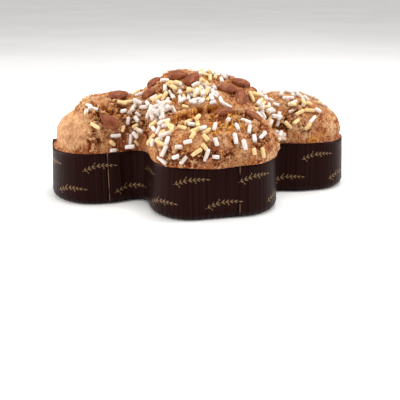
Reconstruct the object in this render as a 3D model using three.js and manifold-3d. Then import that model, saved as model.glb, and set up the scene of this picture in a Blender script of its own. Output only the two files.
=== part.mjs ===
// A dove-shaped Easter bread in its fluted paper case, topped with almonds and sugar sticks.
// Millimetres, +Z up. X runs along the dove, its head at -X and its tail at +X. The wings point
// along Y. The origin is on the surface that the case stands on, under the middle of the loaf.

import * as THREE from 'three';
import { mergeVertices } from 'three/addons/utils/BufferGeometryUtils.js';
import Module from 'manifold-3d';

// Plan of the case, at its widest height
const HEAD_REACH = 153;
const HEAD_HALF_WIDTH = 46;
const HEAD_ROUND = 43;
const TAIL_REACH = 147;
const TAIL_HALF_WIDTH = 52;
const TAIL_ROUND = 36;
const WING_REACH = 107.5;
const WING_HALF_WIDTH = 61;
const WING_ROUND = 38;
const WING_SHIFT = -4.5;
const BODY_HALF_WIDTH = 40;
const BODY_HALF_LENGTH = 70;
const BODY_ROUND = 20;
const LOBE_START = 58;
const WING_START = 30;
const NOTCH_ROUND = 26;

// Paper case, and the room that its wall takes out of the loaf
const RIM_HEIGHT = 50;
const PAPER = 1;
const WALL_LEAN = 2.6;
const FOOT_ROUND = 7;
const GAP = 0.3;
const INNER_GAP = 0.34;
const WALL_ROOM_DEPTH = 14;

// Loaf above the rim
const WIDEST_HEIGHT = 54;
const SHOULDER_RISE = 26;
const SHOULDER_WIDTH = 37;
const SHOULDER_POWER = 2.15;
const RISE_TILT = 0.03;
const DOME_RISE = 34.2;
const DOME_CENTRE = -13;
const DOME_HEAD_SPREAD = 61;
const DOME_TAIL_SPREAD = 74;
const DOME_SIDE_SPREAD = 40;
const OVERHANG = 2.8;
const HEAD_INSET = 5.2;
const TAIL_INSET = 4.8;
const LIP_DROOP = 0.4;
const LIP_WAVES = [
  { rise: 0.7, turn: 0.55 },
  { rise: 0.4, turn: 1.7 },
];
const LIP_SAG = 2.4;
const LIP_SAG_MIDDLE = -4;
const LIP_SAG_SPREAD = 26;
const LIP_UNDERCUT = 0.6;
const LIP_START = 9;

// Relief of the crust
const SEAM_RADIUS = 75;
const SEAM_OFFSET = 10;
const SEAM_DEPTH = 4.5;
const SEAM_HALF_WIDTH = 6;
const SEAM_WAVES = [
  { rise: 2.6, length: 44 },
  { rise: 1.7, length: 19.5 },
];
const SEAM_STARTS = 18;
const SEAM_FULL = 40;
const TERRACE_RISE = 3;
const TERRACE_SLOPE = 3;
const HEAD_EDGE = -121;
const HEAD_EDGE_SLOPE = 2.2;
const HEAD_EDGE_WAVES = [
  { rise: 4, length: 50 },
  { rise: 2, length: 21 },
];
const HEAD_STEP = 7;
const HEAD_SWELL = 2;
const WAVE_COUNT = 8;
const WAVE_RISE = 0.75;
const WAVE_SHORTEST = 30;
const WAVE_LONGEST = 78;

// Fineness of the faceted shapes
const SECTORS = 80;
const CROWN_RINGS = 16;
const RING_CROWDING = 1.45;
const OUTLINE_STEPS = 1440;
const TURN_WEIGHT = 16;
const ALMOND_SIDES = 8;
const ALMOND_STATIONS = [-0.86, -0.4, 0.15, 0.66];
const STICK_SIDES = 6;
const WELD = 1e-5;

// Spots on the crust are found along rays from the loaf's heart
const HEART_HEIGHT = 42;
const FRAME_STEP = 2.5;

// Tears in the crust
const TEAR_PROUD = 2;
const TEAR_JAG = 0.08;
const TEAR_END_WIDTH = 0.5;

// Almonds
const ALMOND_LENGTH = 20.5;
const ALMOND_WIDTH = 12.2;
const ALMOND_THICKNESS = 7.4;
const ALMOND_TAPER = 0.24;
const ALMOND_LIFT = 1.1;

// Sugar sticks
const STICK_DIAMETER = 4.3;
const STICK_SHORTEST = 6.2;
const STICK_LONGEST = 11.8;
const STICK_SHORTNESS = 1.5;
const STICK_SINK = 0.22;
const STICK_SMALLEST_FUSED = 9.9;
const STICK_OVER_RIM = 2;
const GOLDEN_TURN = 137.508;
const TURN_SHAKE = 24;
const REACH_SHAKE = 0.15;
const SWARM_LIMIT = 50;

const wasm = await Module();
wasm.setup();

const FULL_TURN = 2 * Math.PI;
const radians = (degrees) => (degrees * Math.PI) / 180;
const clamp = (value, low, high) => Math.min(Math.max(value, low), high);
const mix = (from, to, share) => from + (to - from) * share;

// A number from 0 to 1 that looks random and is the same every time
function draw(index, channel) {
  const turn = Math.sin(index * 12.9898 + channel * 78.233) * 4375.85453;
  return turn - Math.floor(turn);
}

// Signed distance to a rectangle with round corners, negative inside
function roundedBox(x, y, middleX, middleY, halfX, halfY, round) {
  const overX = Math.abs(x - middleX) - (halfX - round);
  const overY = Math.abs(y - middleY) - (halfY - round);
  const outside = Math.hypot(Math.max(overX, 0), Math.max(overY, 0));
  return outside + Math.min(Math.max(overX, overY), 0) - round;
}

// Joins two signed distances with a round notch between them
function joined(a, b, round) {
  const overlap = Math.max(round - Math.abs(a - b), 0) / round;
  return Math.min(a, b) - (overlap * overlap * round) / 4;
}

// Signed distance to the dove's plan
function planDistance(x, y) {
  const headHalf = (HEAD_REACH - LOBE_START) / 2;
  const tailHalf = (TAIL_REACH - LOBE_START) / 2;
  const wingHalf = (WING_REACH - WING_START) / 2;
  const body = roundedBox(x, y, 0, 0, BODY_HALF_LENGTH, BODY_HALF_WIDTH, BODY_ROUND);
  const head = roundedBox(x, y, -LOBE_START - headHalf, 0, headHalf, HEAD_HALF_WIDTH, HEAD_ROUND);
  const tail = roundedBox(x, y, LOBE_START + tailHalf, 0, tailHalf, TAIL_HALF_WIDTH, TAIL_ROUND);
  const wings = roundedBox(
    x - WING_SHIFT, Math.abs(y), 0, WING_START + wingHalf, WING_HALF_WIDTH, wingHalf, WING_ROUND,
  );
  return joined(joined(joined(body, head, NOTCH_ROUND), tail, NOTCH_ROUND), wings, NOTCH_ROUND);
}

// The plan's outline as evenly weighted stations, closer together where it turns
function outlineStations() {
  const points = [];
  for (let step = 0; step < OUTLINE_STEPS; step += 1) {
    const bearing = (FULL_TURN * step) / OUTLINE_STEPS;
    const direction = new THREE.Vector2(Math.cos(bearing), Math.sin(bearing));
    let inner = 0;
    let outer = HEAD_REACH + TAIL_REACH;
    while (outer - inner > 1e-7) {
      const middle = (inner + outer) / 2;
      if (planDistance(direction.x * middle, direction.y * middle) < 0) inner = middle;
      else outer = middle;
    }
    points.push(direction.multiplyScalar(inner));
  }
  const at = (index) => points[(index + OUTLINE_STEPS) % OUTLINE_STEPS];
  const weights = [0];
  for (let step = 0; step < OUTLINE_STEPS; step += 1) {
    const before = at(step).clone().sub(at(step - 1));
    const after = at(step + 1).clone().sub(at(step));
    const turn = Math.abs(Math.atan2(before.cross(after), before.dot(after)));
    weights.push(weights[step] + after.length() + TURN_WEIGHT * turn);
  }
  const stations = [];
  let step = 0;
  for (let sector = 0; sector < SECTORS; sector += 1) {
    const target = (weights[OUTLINE_STEPS] * sector) / SECTORS;
    while (weights[step + 1] < target) step += 1;
    const share = (target - weights[step]) / (weights[step + 1] - weights[step]);
    const point = at(step).clone().lerp(at(step + 1), share);
    const along = at(step + 3).clone().sub(at(step - 2)).normalize();
    stations.push({ point, outward: new THREE.Vector2(along.y, -along.x) });
  }
  return stations;
}

// How far the loaf's widest line stands outside the plan: inside the paper at head and tail
function overhang(x, y) {
  const sideways = Math.abs(y) / Math.sqrt(x * x + y * y + 1e-9);
  const inset = x < 0 ? HEAD_INSET : TAIL_INSET;
  return mix(-WALL_LEAN - inset, OVERHANG - WALL_LEAN, sideways);
}

// Slow swelling of the crust, a sum of long waves that cross at odd angles
function crustWaves(x, y) {
  let height = 0;
  for (let wave = 0; wave < WAVE_COUNT; wave += 1) {
    const heading = FULL_TURN * draw(wave, 1);
    const length = mix(WAVE_SHORTEST, WAVE_LONGEST, draw(wave, 2));
    const phase = FULL_TURN * draw(wave, 3);
    const along = x * Math.cos(heading) + y * Math.sin(heading);
    height += Math.sin((FULL_TURN * along) / length + phase);
  }
  return WAVE_RISE * height;
}

// A sum of waves along one direction, to make an edge ragged
function raggedness(along, waves, shift) {
  return waves.reduce((sum, { rise, length }, index) => (
    sum + rise * Math.sin((FULL_TURN * along) / length + shift * (index + 1))), 0);
}

// A smooth step from 0 to 1 as the reach passes zero
function softStep(reach, slope) {
  return 1 / (1 + Math.exp(-reach / slope));
}

// The seam between the middle dome and each wing, with the dome a terrace above it
function wingSeam(x, y) {
  const side = Math.sign(y) || 1;
  const radius = Math.hypot(x - WING_SHIFT, Math.abs(y) + SEAM_OFFSET);
  const reach = radius - SEAM_RADIUS + raggedness(x, SEAM_WAVES, side);
  const share = clamp((Math.abs(y) - SEAM_STARTS) / (SEAM_FULL - SEAM_STARTS), 0, 1);
  const groove = SEAM_DEPTH * Math.exp(-((reach / SEAM_HALF_WIDTH) ** 2));
  return share * (TERRACE_RISE * softStep(-reach, TERRACE_SLOPE) - groove);
}

// The step where the head's smooth end meets the rough crust above it
function headTerrace(x, y) {
  const edge = HEAD_EDGE + raggedness(y, HEAD_EDGE_WAVES, 0);
  return HEAD_SWELL - HEAD_STEP * softStep(edge - x, HEAD_EDGE_SLOPE);
}

// Height of the crust over a point of the plan
function crustHeight(x, y) {
  const depth = clamp((overhang(x, y) - planDistance(x, y)) / SHOULDER_WIDTH, 0, 1);
  const shoulder = (1 - (1 - depth) ** SHOULDER_POWER) ** (1 / SHOULDER_POWER);
  const spread = x < DOME_CENTRE ? DOME_HEAD_SPREAD : DOME_TAIL_SPREAD;
  const away = ((x - DOME_CENTRE) / spread) ** 2 + (y / DOME_SIDE_SPREAD) ** 2;
  const relief = crustWaves(x, y) + wingSeam(x, y) + headTerrace(x, y);
  return WIDEST_HEIGHT + (SHOULDER_RISE - RISE_TILT * x + relief) * shoulder
    + DOME_RISE * Math.exp(-away / 2);
}

// Triangles that join a stack of rings into one closed shape; a ring of one point closes an end
function ringGeometry(rings) {
  const positions = [];
  const starts = [];
  for (const ring of rings) {
    starts.push(positions.length / 3);
    for (const point of ring) positions.push(point.x, point.y, point.z);
  }
  const faces = [];
  for (let index = 0; index + 1 < rings.length; index += 1) {
    const low = rings[index];
    const high = rings[index + 1];
    const count = Math.max(low.length, high.length);
    for (let side = 0; side < count; side += 1) {
      const next = (side + 1) % count;
      const a = starts[index] + (low.length > 1 ? side : 0);
      const b = starts[index] + (low.length > 1 ? next : 0);
      const c = starts[index + 1] + (high.length > 1 ? next : 0);
      const d = starts[index + 1] + (high.length > 1 ? side : 0);
      if (low.length > 1) faces.push(a, b, c);
      if (high.length > 1) faces.push(a, c, d);
    }
  }
  const geometry = new THREE.BufferGeometry();
  geometry.setAttribute('position', new THREE.Float32BufferAttribute(positions, 3));
  geometry.setIndex(faces);
  return geometry;
}

// One level of the case or loaf: the outline moved outwards and set at a height
function level(stations, outwards, height) {
  return stations.map(({ point, outward }, sector) => {
    const move = typeof outwards === 'function' ? outwards(sector) : outwards;
    const rise = typeof height === 'function' ? height(sector) : height;
    return new THREE.Vector3(point.x + outward.x * move, point.y + outward.y * move, rise);
  });
}

// How far the leaning wall stands inside the plan at a height
function wallLean(height) {
  return (WALL_LEAN * Math.max(height - FOOT_ROUND, 0)) / (RIM_HEIGHT - FOOT_ROUND);
}

// Rings of the round foot between flat bottom and wall, for a skin that far inside the paper
function footRings(stations, skin) {
  const bend = FOOT_ROUND - skin;
  return [0, 45, 90].map((angle) => {
    const inwards = bend * (1 - Math.sin(radians(angle)));
    return level(stations, -skin - inwards, skin + bend * (1 - Math.cos(radians(angle))));
  });
}

function caseGeometry(stations) {
  const outside = footRings(stations, 0);
  const inside = footRings(stations, PAPER).reverse();
  return ringGeometry([
    [new THREE.Vector3(0, 0, 0)],
    ...outside,
    level(stations, -WALL_LEAN, RIM_HEIGHT),
    level(stations, -WALL_LEAN - PAPER, RIM_HEIGHT),
    ...inside,
    [new THREE.Vector3(0, 0, PAPER)],
  ]);
}

// The room that the paper's wall takes out of the loaf, with the gap on both sides
function wallRoomGeometry(stations) {
  const bottom = RIM_HEIGHT - WALL_ROOM_DEPTH;
  const rings = [
    level(stations, GAP - wallLean(bottom), bottom),
    level(stations, GAP - WALL_LEAN, RIM_HEIGHT + GAP),
    level(stations, -PAPER - GAP - WALL_LEAN, RIM_HEIGHT + GAP),
    level(stations, -PAPER - GAP - wallLean(bottom), bottom),
  ];
  rings.push(rings[0]);
  return mergeVertices(ringGeometry(rings), WELD);
}

// The loaf before cutting: it fills the case, hangs over the rim and rises to the dome
function loafGeometry(stations) {
  const inset = PAPER + INNER_GAP;
  const reach = stations.map(({ point }) => overhang(point.x, point.y));
  const hangs = reach.map((move) => clamp((move + WALL_LEAN) / OVERHANG, 0, 1));
  const sags = stations.map(({ point }) => (
    LIP_SAG * Math.exp(-(((point.x - LIP_SAG_MIDDLE) / LIP_SAG_SPREAD) ** 2))));
  const droop = hangs.map((share, sector) => share * LIP_WAVES.reduce(
    (sum, { rise, turn }) => sum + rise * Math.sin(sector * turn), LIP_DROOP + sags[sector],
  ));
  const belowLip = RIM_HEIGHT - LIP_START;
  const rings = [
    [new THREE.Vector3(0, 0, PAPER + GAP)],
    ...footRings(stations, PAPER + GAP),
    level(stations, -inset - wallLean(belowLip), belowLip),
    level(
      stations,
      (sector) => mix(-inset - WALL_LEAN, reach[sector] - LIP_UNDERCUT, hangs[sector]),
      (sector) => RIM_HEIGHT - droop[sector],
    ),
    level(stations, (sector) => reach[sector], WIDEST_HEIGHT),
  ];
  for (let ring = 1; ring < CROWN_RINGS; ring += 1) {
    const inwards = 1 - (ring / CROWN_RINGS) ** RING_CROWDING;
    rings.push(stations.map(({ point, outward }, sector) => {
      const x = (point.x + outward.x * reach[sector]) * inwards;
      const y = (point.y + outward.y * reach[sector]) * inwards;
      return new THREE.Vector3(x, y, crustHeight(x, y));
    }));
  }
  rings.push([new THREE.Vector3(0, 0, crustHeight(0, 0))]);
  return ringGeometry(rings);
}

function solidOf(geometry) {
  const bare = new THREE.BufferGeometry();
  bare.setAttribute('position', geometry.getAttribute('position').clone());
  if (geometry.getIndex()) bare.setIndex(geometry.getIndex());
  const merged = mergeVertices(bare, WELD);
  return new wasm.Manifold(new wasm.Mesh({
    numProp: 3,
    vertProperties: new Float32Array(merged.getAttribute('position').array),
    triVerts: new Uint32Array(merged.getIndex().array),
  }));
}

function geometryOf(solid) {
  const mesh = solid.getMesh();
  const geometry = new THREE.BufferGeometry();
  geometry.setAttribute('position', new THREE.BufferAttribute(mesh.vertProperties, 3));
  geometry.setIndex(new THREE.BufferAttribute(mesh.triVerts, 1));
  return geometry;
}

// The biggest closed piece of a solid, without scraps
function largestPiece(solid) {
  const pieces = solid.decompose();
  pieces.sort((a, b) => b.volume() - a.volume());
  return pieces[0];
}

const HEART = new THREE.Vector3(0, 0, HEART_HEIGHT);

// The spot where a line from the loaf's heart comes out of the crust
function crustSpot(direction) {
  const ray = direction.clone().normalize();
  let inner = 0;
  let outer = HEAD_REACH + TAIL_REACH;
  while (outer - inner > 1e-6) {
    const middle = (inner + outer) / 2;
    const point = HEART.clone().addScaledVector(ray, middle);
    const within = overhang(point.x, point.y) - planDistance(point.x, point.y);
    if (within > 0 && point.z < crustHeight(point.x, point.y)) inner = middle;
    else outer = middle;
  }
  return HEART.clone().addScaledVector(ray, inner);
}

// A spot by bearing and climb in degrees, seen from the heart; bearing 0 is the tail
function spotToward(bearing, climb) {
  const flat = Math.cos(radians(climb));
  return crustSpot(new THREE.Vector3(
    flat * Math.cos(radians(bearing)), flat * Math.sin(radians(bearing)), Math.sin(radians(climb)),
  ));
}

// Axes at a spot: along the crust by a heading, and straight out of it. The crust's slope is
// taken from four spots around this one.
function crustFrame(spot, heading) {
  const ray = spot.clone().sub(HEART);
  const sideways = new THREE.Vector3(-ray.y, ray.x, 0).normalize();
  const upwards = ray.clone().cross(sideways).normalize();
  const span = (axis) => crustSpot(ray.clone().addScaledVector(axis, FRAME_STEP))
    .sub(crustSpot(ray.clone().addScaledVector(axis, -FRAME_STEP)));
  const flat = span(sideways).normalize();
  const out = flat.clone().cross(span(upwards)).normalize();
  const uphill = out.clone().cross(flat);
  const along = flat.clone().multiplyScalar(Math.cos(radians(heading)))
    .addScaledVector(uphill, Math.sin(radians(heading)));
  return { along, out, across: out.clone().cross(along) };
}

// An almond: a flat drop with its point at +X
function almondGeometry(size, clearance) {
  const length = size * ALMOND_LENGTH + 3 * clearance;
  const width = size * ALMOND_WIDTH + 2 * clearance;
  const thickness = size * ALMOND_THICKNESS + 2 * clearance;
  const rings = ALMOND_STATIONS.map((station) => {
    const swell = Math.sqrt(1 - station * station) * (1 - ALMOND_TAPER * station);
    return Array.from({ length: ALMOND_SIDES }, (_, side) => {
      const angle = (FULL_TURN * side) / ALMOND_SIDES;
      return new THREE.Vector3(
        (station * length) / 2,
        (swell * Math.cos(angle) * width) / 2,
        (swell * Math.sin(angle) * thickness) / 2,
      );
    });
  });
  const heel = [new THREE.Vector3(-length / 2, 0, 0)];
  const point = [new THREE.Vector3(length / 2, 0, 0)];
  return ringGeometry([heel, ...rings, point]);
}

// A sugar stick along X, its ends cut straight
function stickGeometry(length, diameter) {
  const section = new THREE.Shape();
  for (let side = 0; side < STICK_SIDES; side += 1) {
    const angle = (FULL_TURN * (side + 0.5)) / STICK_SIDES;
    const corner = [(Math.cos(angle) * diameter) / 2, (Math.sin(angle) * diameter) / 2];
    if (side === 0) section.moveTo(...corner);
    else section.lineTo(...corner);
  }
  const stick = new THREE.ExtrudeGeometry(section, { depth: length, bevelEnabled: false });
  return stick.translate(0, 0, -length / 2).rotateY(Math.PI / 2);
}

// Where an almond lies: half sunk at its spot, and turned to the crust there
function almondPlacement(bearing, climb, heading, tip) {
  const spot = spotToward(bearing, climb);
  const { along, across, out } = crustFrame(spot, heading);
  const matrix = new THREE.Matrix4().makeBasis(along, across, out);
  matrix.multiply(new THREE.Matrix4().makeRotationY(radians(-tip)));
  return matrix.setPosition(spot.addScaledVector(out, ALMOND_LIFT));
}

// Tears in the crust, from one spot to another by bearing and climb in degrees, bowed upwards
const TEARS = [
  { from: [-119, 25], to: [-62, 24], bow: 10, width: 12, depth: 8, steps: 9 },
  { from: [118, 25], to: [60, 24], bow: 9, width: 12, depth: 8, steps: 9 },
  { from: [-34, 8], to: [-28, 28], bow: 2, width: 10, depth: 8, steps: 5 },
  { from: [-143, 11], to: [-138, 27], bow: 3, width: 8, depth: 7, steps: 5 },
  { from: [-172, 12], to: [-162, 9], bow: -2, width: 6, depth: 4, steps: 4 },
];

// The heading of the straight line between two spots
function tearHeading(from, to) {
  const wide = Math.cos(radians((from[1] + to[1]) / 2));
  return THREE.MathUtils.radToDeg(Math.atan2(to[1] - from[1], (to[0] - from[0]) * wide));
}

// A wedge along a tear, ragged and sunk into the crust, to cut it open
function tearGeometry({ from, to, bow, width, depth, steps }) {
  const rings = [];
  for (let step = 0; step <= steps; step += 1) {
    const share = step / steps;
    const swell = Math.sin(Math.PI * share);
    const jag = (step % 2 ? TEAR_JAG : -TEAR_JAG) * width;
    const bearing = mix(from[0], to[0], share);
    const spot = spotToward(bearing, mix(from[1], to[1], share) + bow * swell + jag);
    const { across, out } = crustFrame(spot, tearHeading(from, to));
    const proud = spot.clone().addScaledVector(out, TEAR_PROUD);
    if (step === 0 || step === steps) {
      rings.push([proud]);
      continue;
    }
    const half = (width / 2) * mix(TEAR_END_WIDTH, 1, swell);
    rings.push([
      proud.clone().addScaledVector(across, half),
      proud.clone().addScaledVector(across, -half),
      spot.clone().addScaledVector(out, -depth * swell),
    ]);
  }
  return ringGeometry(rings);
}

// Almonds by bearing, climb and heading in degrees; a tip stands the point up out of the crust
const ALMONDS = [
  { bearing: 180, climb: 54, heading: 40 },
  { bearing: -159, climb: 68.6, heading: 52 },
  { bearing: -129, climb: 72, heading: 80, tip: 14 },
  { bearing: -23.5, climb: 58.9, heading: 100 },
  { bearing: -51, climb: 62.5, heading: 135 },
  { bearing: -162, climb: 45, heading: 30 },
  { bearing: -174, climb: 33, heading: 76 },
  { bearing: -159, climb: 19.5, heading: 160 },
  { bearing: -49, climb: 48.4, heading: 228, tip: -14 },
  { bearing: -87.6, climb: 33.7, heading: 188 },
  { bearing: -66.7, climb: 28.8, heading: 108, size: 0.9 },
  { bearing: 62, climb: 22, heading: 40, size: 0.94 },
  { bearing: 58, climb: 57, heading: 30 },
  { bearing: 112, climb: 49, heading: -20 },
  { bearing: 84, climb: 33, heading: 75 },
  { bearing: 151, climb: 36, heading: 25 },
  { bearing: 24, climb: 37, heading: -10 },
];

// Swarms of sugar sticks: where they lie, how far they scatter in millimetres, how many
const SWARMS = [
  { bearing: -133, climb: 32, scatter: 11, count: 22 },
  { bearing: -164, climb: 31, scatter: 13, count: 10 },
  { bearing: -149, climb: 36, scatter: 11, count: 7 },
  { bearing: -174, climb: 38, scatter: 17, count: 10 },
  { bearing: -144, climb: 51, scatter: 16, count: 15 },
  { bearing: -125, climb: 61, scatter: 16, count: 18 },
  { bearing: -98, climb: 60, scatter: 15, count: 18 },
  { bearing: -150, climb: 79, scatter: 20, count: 18 },
  { bearing: -38, climb: 79, scatter: 16, count: 12 },
  { bearing: -89, climb: 40, scatter: 10, count: 7 },
  { bearing: -112, climb: 46, scatter: 14, count: 9 },
  { bearing: -31, climb: 44, scatter: 17, count: 17 },
  { bearing: -36, climb: 29, scatter: 14, count: 12 },
  { bearing: -12.5, climb: 28, scatter: 20, count: 14 },
  { bearing: -22, climb: 18.5, scatter: 17, count: 9 },
  { bearing: -30, climb: 16, scatter: 12, count: 5 },
  { bearing: -1, climb: 16.5, scatter: 13, count: 7 },
  { bearing: -31, climb: 9, scatter: 9, count: 5 },
  { bearing: -124, climb: 19, scatter: 14, count: 15 },
  { bearing: -107, climb: 24, scatter: 12, count: 6 },
  { bearing: -103.5, climb: 17, scatter: 17, count: 9 },
  { bearing: -79, climb: 20, scatter: 19, count: 9 },
  { bearing: -116, climb: 9, scatter: 15, count: 8 },
  { bearing: -75, climb: 8.5, scatter: 8, count: 3 },
  { bearing: -98, climb: 8.5, scatter: 6, count: 2 },
  { bearing: -156, climb: 21, scatter: 11, count: 6 },
  { bearing: -156, climb: 12, scatter: 12, count: 8 },
  { bearing: -160, climb: 15, scatter: 5, count: 2 },
  { bearing: -168, climb: 22, scatter: 7, count: 3 },
  { bearing: 90, climb: 72, scatter: 24, count: 20 },
  { bearing: 82, climb: 50, scatter: 28, count: 22 },
  { bearing: 94, climb: 22, scatter: 36, count: 26 },
  { bearing: 22, climb: 28, scatter: 28, count: 18 },
  { bearing: 150, climb: 28, scatter: 26, count: 13 },
];

// Every stick of every swarm, spread as sunflower seeds are and shaken a little
function stickPlacements() {
  const sticks = [];
  SWARMS.forEach(({ bearing, climb, scatter, count }, swarm) => {
    const middle = spotToward(bearing, climb);
    const { along, across } = crustFrame(middle, 0);
    for (let place = 0; place < count; place += 1) {
      const index = swarm * SWARM_LIMIT + place;
      const shake = mix(1 - REACH_SHAKE, 1 + REACH_SHAKE, draw(index, 1));
      const reach = scatter * Math.sqrt((place + 0.6) / count) * shake;
      const turn = radians(GOLDEN_TURN * place + TURN_SHAKE * draw(index, 2));
      const target = middle.clone()
        .addScaledVector(along, reach * Math.cos(turn))
        .addScaledVector(across, reach * Math.sin(turn));
      const spot = crustSpot(target.sub(HEART));
      const heading = 360 * draw(index, 3);
      const length = mix(STICK_SHORTEST, STICK_LONGEST, draw(index, 4) ** STICK_SHORTNESS);
      const frame = crustFrame(spot, heading);
      const matrix = new THREE.Matrix4().makeBasis(frame.along, frame.across, frame.out);
      const lift = STICK_DIAMETER * (0.5 - STICK_SINK);
      matrix.setPosition(spot.clone().addScaledVector(frame.out, lift));
      sticks.push({ matrix, length });
    }
  });
  return sticks;
}

// Height of the lower end of a stick
function lowestEnd({ matrix, length }) {
  return Math.min(...[-0.5, 0.5].map((share) => (
    new THREE.Vector3(share * length, 0, 0).applyMatrix4(matrix).z)));
}

// True where a stick would touch an almond
function touchesAlmond(stick, almonds) {
  for (let share = -0.5; share <= 0.5; share += 0.125) {
    const point = new THREE.Vector3(share * stick.length, 0, 0).applyMatrix4(stick.matrix);
    for (const almond of almonds) {
      const local = point.clone().applyMatrix4(almond.matrix.clone().invert());
      const margin = STICK_DIAMETER / 2 + 2 * GAP;
      const reach = Math.hypot(
        local.x / ((almond.size * ALMOND_LENGTH) / 2 + margin),
        local.y / ((almond.size * ALMOND_WIDTH) / 2 + margin),
        local.z / ((almond.size * ALMOND_THICKNESS) / 2 + margin),
      );
      if (reach < 1) return true;
    }
  }
  return false;
}

function buildAlmonds() {
  return ALMONDS.map(({ bearing, climb, heading, tip = 0, size = 1 }) => (
    { matrix: almondPlacement(bearing, climb, heading, tip), size }));
}

const stations = outlineStations();
const almonds = buildAlmonds();

function breadGeometry() {
  const tears = TEARS.map((tear) => solidOf(tearGeometry(tear)));
  const cuts = [solidOf(wallRoomGeometry(stations)), ...tears];
  let bread = solidOf(loafGeometry(stations)).subtract(wasm.Manifold.union(cuts));
  const fused = [];
  for (const stick of stickPlacements()) {
    if (stick.length < STICK_SMALLEST_FUSED || touchesAlmond(stick, almonds)) continue;
    if (lowestEnd(stick) < RIM_HEIGHT + STICK_OVER_RIM) continue;
    const shape = stickGeometry(stick.length, STICK_DIAMETER);
    fused.push(solidOf(shape.applyMatrix4(stick.matrix)));
  }
  bread = wasm.Manifold.union([bread, ...fused]);
  const pockets = almonds.map(({ matrix, size }) => (
    solidOf(almondGeometry(size, GAP).applyMatrix4(matrix))));
  bread = bread.subtract(wasm.Manifold.union(pockets));
  return geometryOf(largestPiece(bread));
}

const crust = new THREE.MeshStandardMaterial({ color: 0xb97b45, roughness: 0.75, metalness: 0 });
const paper = new THREE.MeshStandardMaterial({ color: 0x2b1a19, roughness: 0.45, metalness: 0 });
const almondSkin = new THREE.MeshStandardMaterial({ color: 0x8a4f30, roughness: 0.6, metalness: 0 });

// The head reaches further from the wings than the tail, so the loaf is centred by its own group
const colomba = new THREE.Group();
const centred = new THREE.Group();
centred.position.x = (HEAD_REACH - TAIL_REACH) / 2;
colomba.add(centred);

function addMesh(name, geometry, material) {
  const mesh = new THREE.Mesh(geometry, material.clone());
  mesh.name = name;
  centred.add(mesh);
  return mesh;
}

addMesh('paper_case', caseGeometry(stations), paper);
addMesh('bread', breadGeometry(), crust);
almonds.forEach(({ matrix, size }, index) => {
  const name = `almond_${String(index + 1).padStart(2, '0')}`;
  addMesh(name, almondGeometry(size, 0), almondSkin).applyMatrix4(matrix);
});

export default colomba;
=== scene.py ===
"""A dove-shaped Easter bread in its fluted paper case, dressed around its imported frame.

The classes hold their sizes in millimetres, in the bread's own frame. A mesh becomes metres when
it is made, and is moved along X by CENTRED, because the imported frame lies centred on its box.
"""

from __future__ import annotations

import logging
import math
from dataclasses import dataclass
from enum import Enum
from functools import cached_property, reduce
from typing import Iterable, NamedTuple, Sequence

import bpy
import numpy as np
from mathutils import Matrix, Vector

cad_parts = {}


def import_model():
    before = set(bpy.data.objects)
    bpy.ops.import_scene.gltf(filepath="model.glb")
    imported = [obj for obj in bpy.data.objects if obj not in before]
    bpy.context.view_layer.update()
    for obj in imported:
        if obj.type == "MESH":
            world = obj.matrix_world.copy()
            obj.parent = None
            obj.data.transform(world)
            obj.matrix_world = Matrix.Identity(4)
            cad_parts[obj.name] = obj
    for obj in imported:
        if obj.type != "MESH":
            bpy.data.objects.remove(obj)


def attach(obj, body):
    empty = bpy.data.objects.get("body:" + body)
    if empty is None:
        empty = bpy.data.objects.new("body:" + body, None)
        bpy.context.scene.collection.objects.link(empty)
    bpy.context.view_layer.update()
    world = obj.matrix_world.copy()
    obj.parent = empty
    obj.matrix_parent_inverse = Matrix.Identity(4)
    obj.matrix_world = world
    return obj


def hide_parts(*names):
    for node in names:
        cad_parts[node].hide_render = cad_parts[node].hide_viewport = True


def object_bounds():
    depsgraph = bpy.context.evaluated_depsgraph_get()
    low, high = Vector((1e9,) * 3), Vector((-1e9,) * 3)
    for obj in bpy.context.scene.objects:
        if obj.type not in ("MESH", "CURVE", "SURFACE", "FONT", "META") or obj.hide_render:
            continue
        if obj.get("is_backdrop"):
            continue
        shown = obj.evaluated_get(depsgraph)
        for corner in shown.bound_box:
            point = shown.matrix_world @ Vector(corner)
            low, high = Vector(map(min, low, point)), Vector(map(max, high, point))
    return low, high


LOG = logging.getLogger("easter_bread")
MM = 0.001
FULL_TURN = 2 * math.pi
CENTRED = 3.0
BODY = "root"
Array = np.ndarray
Values = np.ndarray | float
Floats = tuple[float, ...]
Faces = list[tuple[int, ...]]
Node = bpy.types.Node
Socket = bpy.types.NodeSocket
Tree = bpy.types.NodeTree
Material = bpy.types.Material
Piece = bpy.types.Object


def draw(index: Values, channel: int) -> Array:
    """Gives numbers from 0 to 1 that look random and are the same every time.

    Args:
        index: Which thing the number is for.
        channel: Which of the thing's properties it is for.

    Returns:
        One number for each index.
    """
    turn = np.sin(np.asarray(index, float) * 12.9898 + channel * 78.233) * 4375.85453
    return turn - np.floor(turn)


def mix(low: Values, high: Values, share: Values) -> Array:
    """Returns the value that lies at a share of the way from low to high."""
    return low + (high - low) * share


def unit(vectors: Array) -> Array:
    """Returns the vectors with their lengths made 1."""
    return vectors / np.maximum(np.linalg.norm(vectors, axis=-1, keepdims=True), 1e-12)


def smooth_step(values: Array, low: float, high: float) -> Array:
    """Returns 0 below low, 1 above high and a smooth rise between them."""
    share = np.clip((values - low) / (high - low), 0.0, 1.0)
    return share * share * (3 - 2 * share)


def wobble(along: Array, seed: int, length: float) -> Array:
    """Gives an uneven wave for ragged edges.

    Args:
        along: Distance along the edge.
        seed: Picks one of many waves.
        length: The longest wave's length.

    Returns:
        Values from about -1 to 1.
    """
    total = np.zeros_like(along)
    for octave in range(4):
        phase = FULL_TURN * float(draw(seed * 7 + octave, 11))
        stretch = mix(0.8, 1.2, float(draw(seed * 7 + octave, 12)))
        turn = FULL_TURN * along * 1.93**octave / (length * stretch) + phase
        total += np.sin(turn) * 0.62**octave
    return total / 2.2


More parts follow.
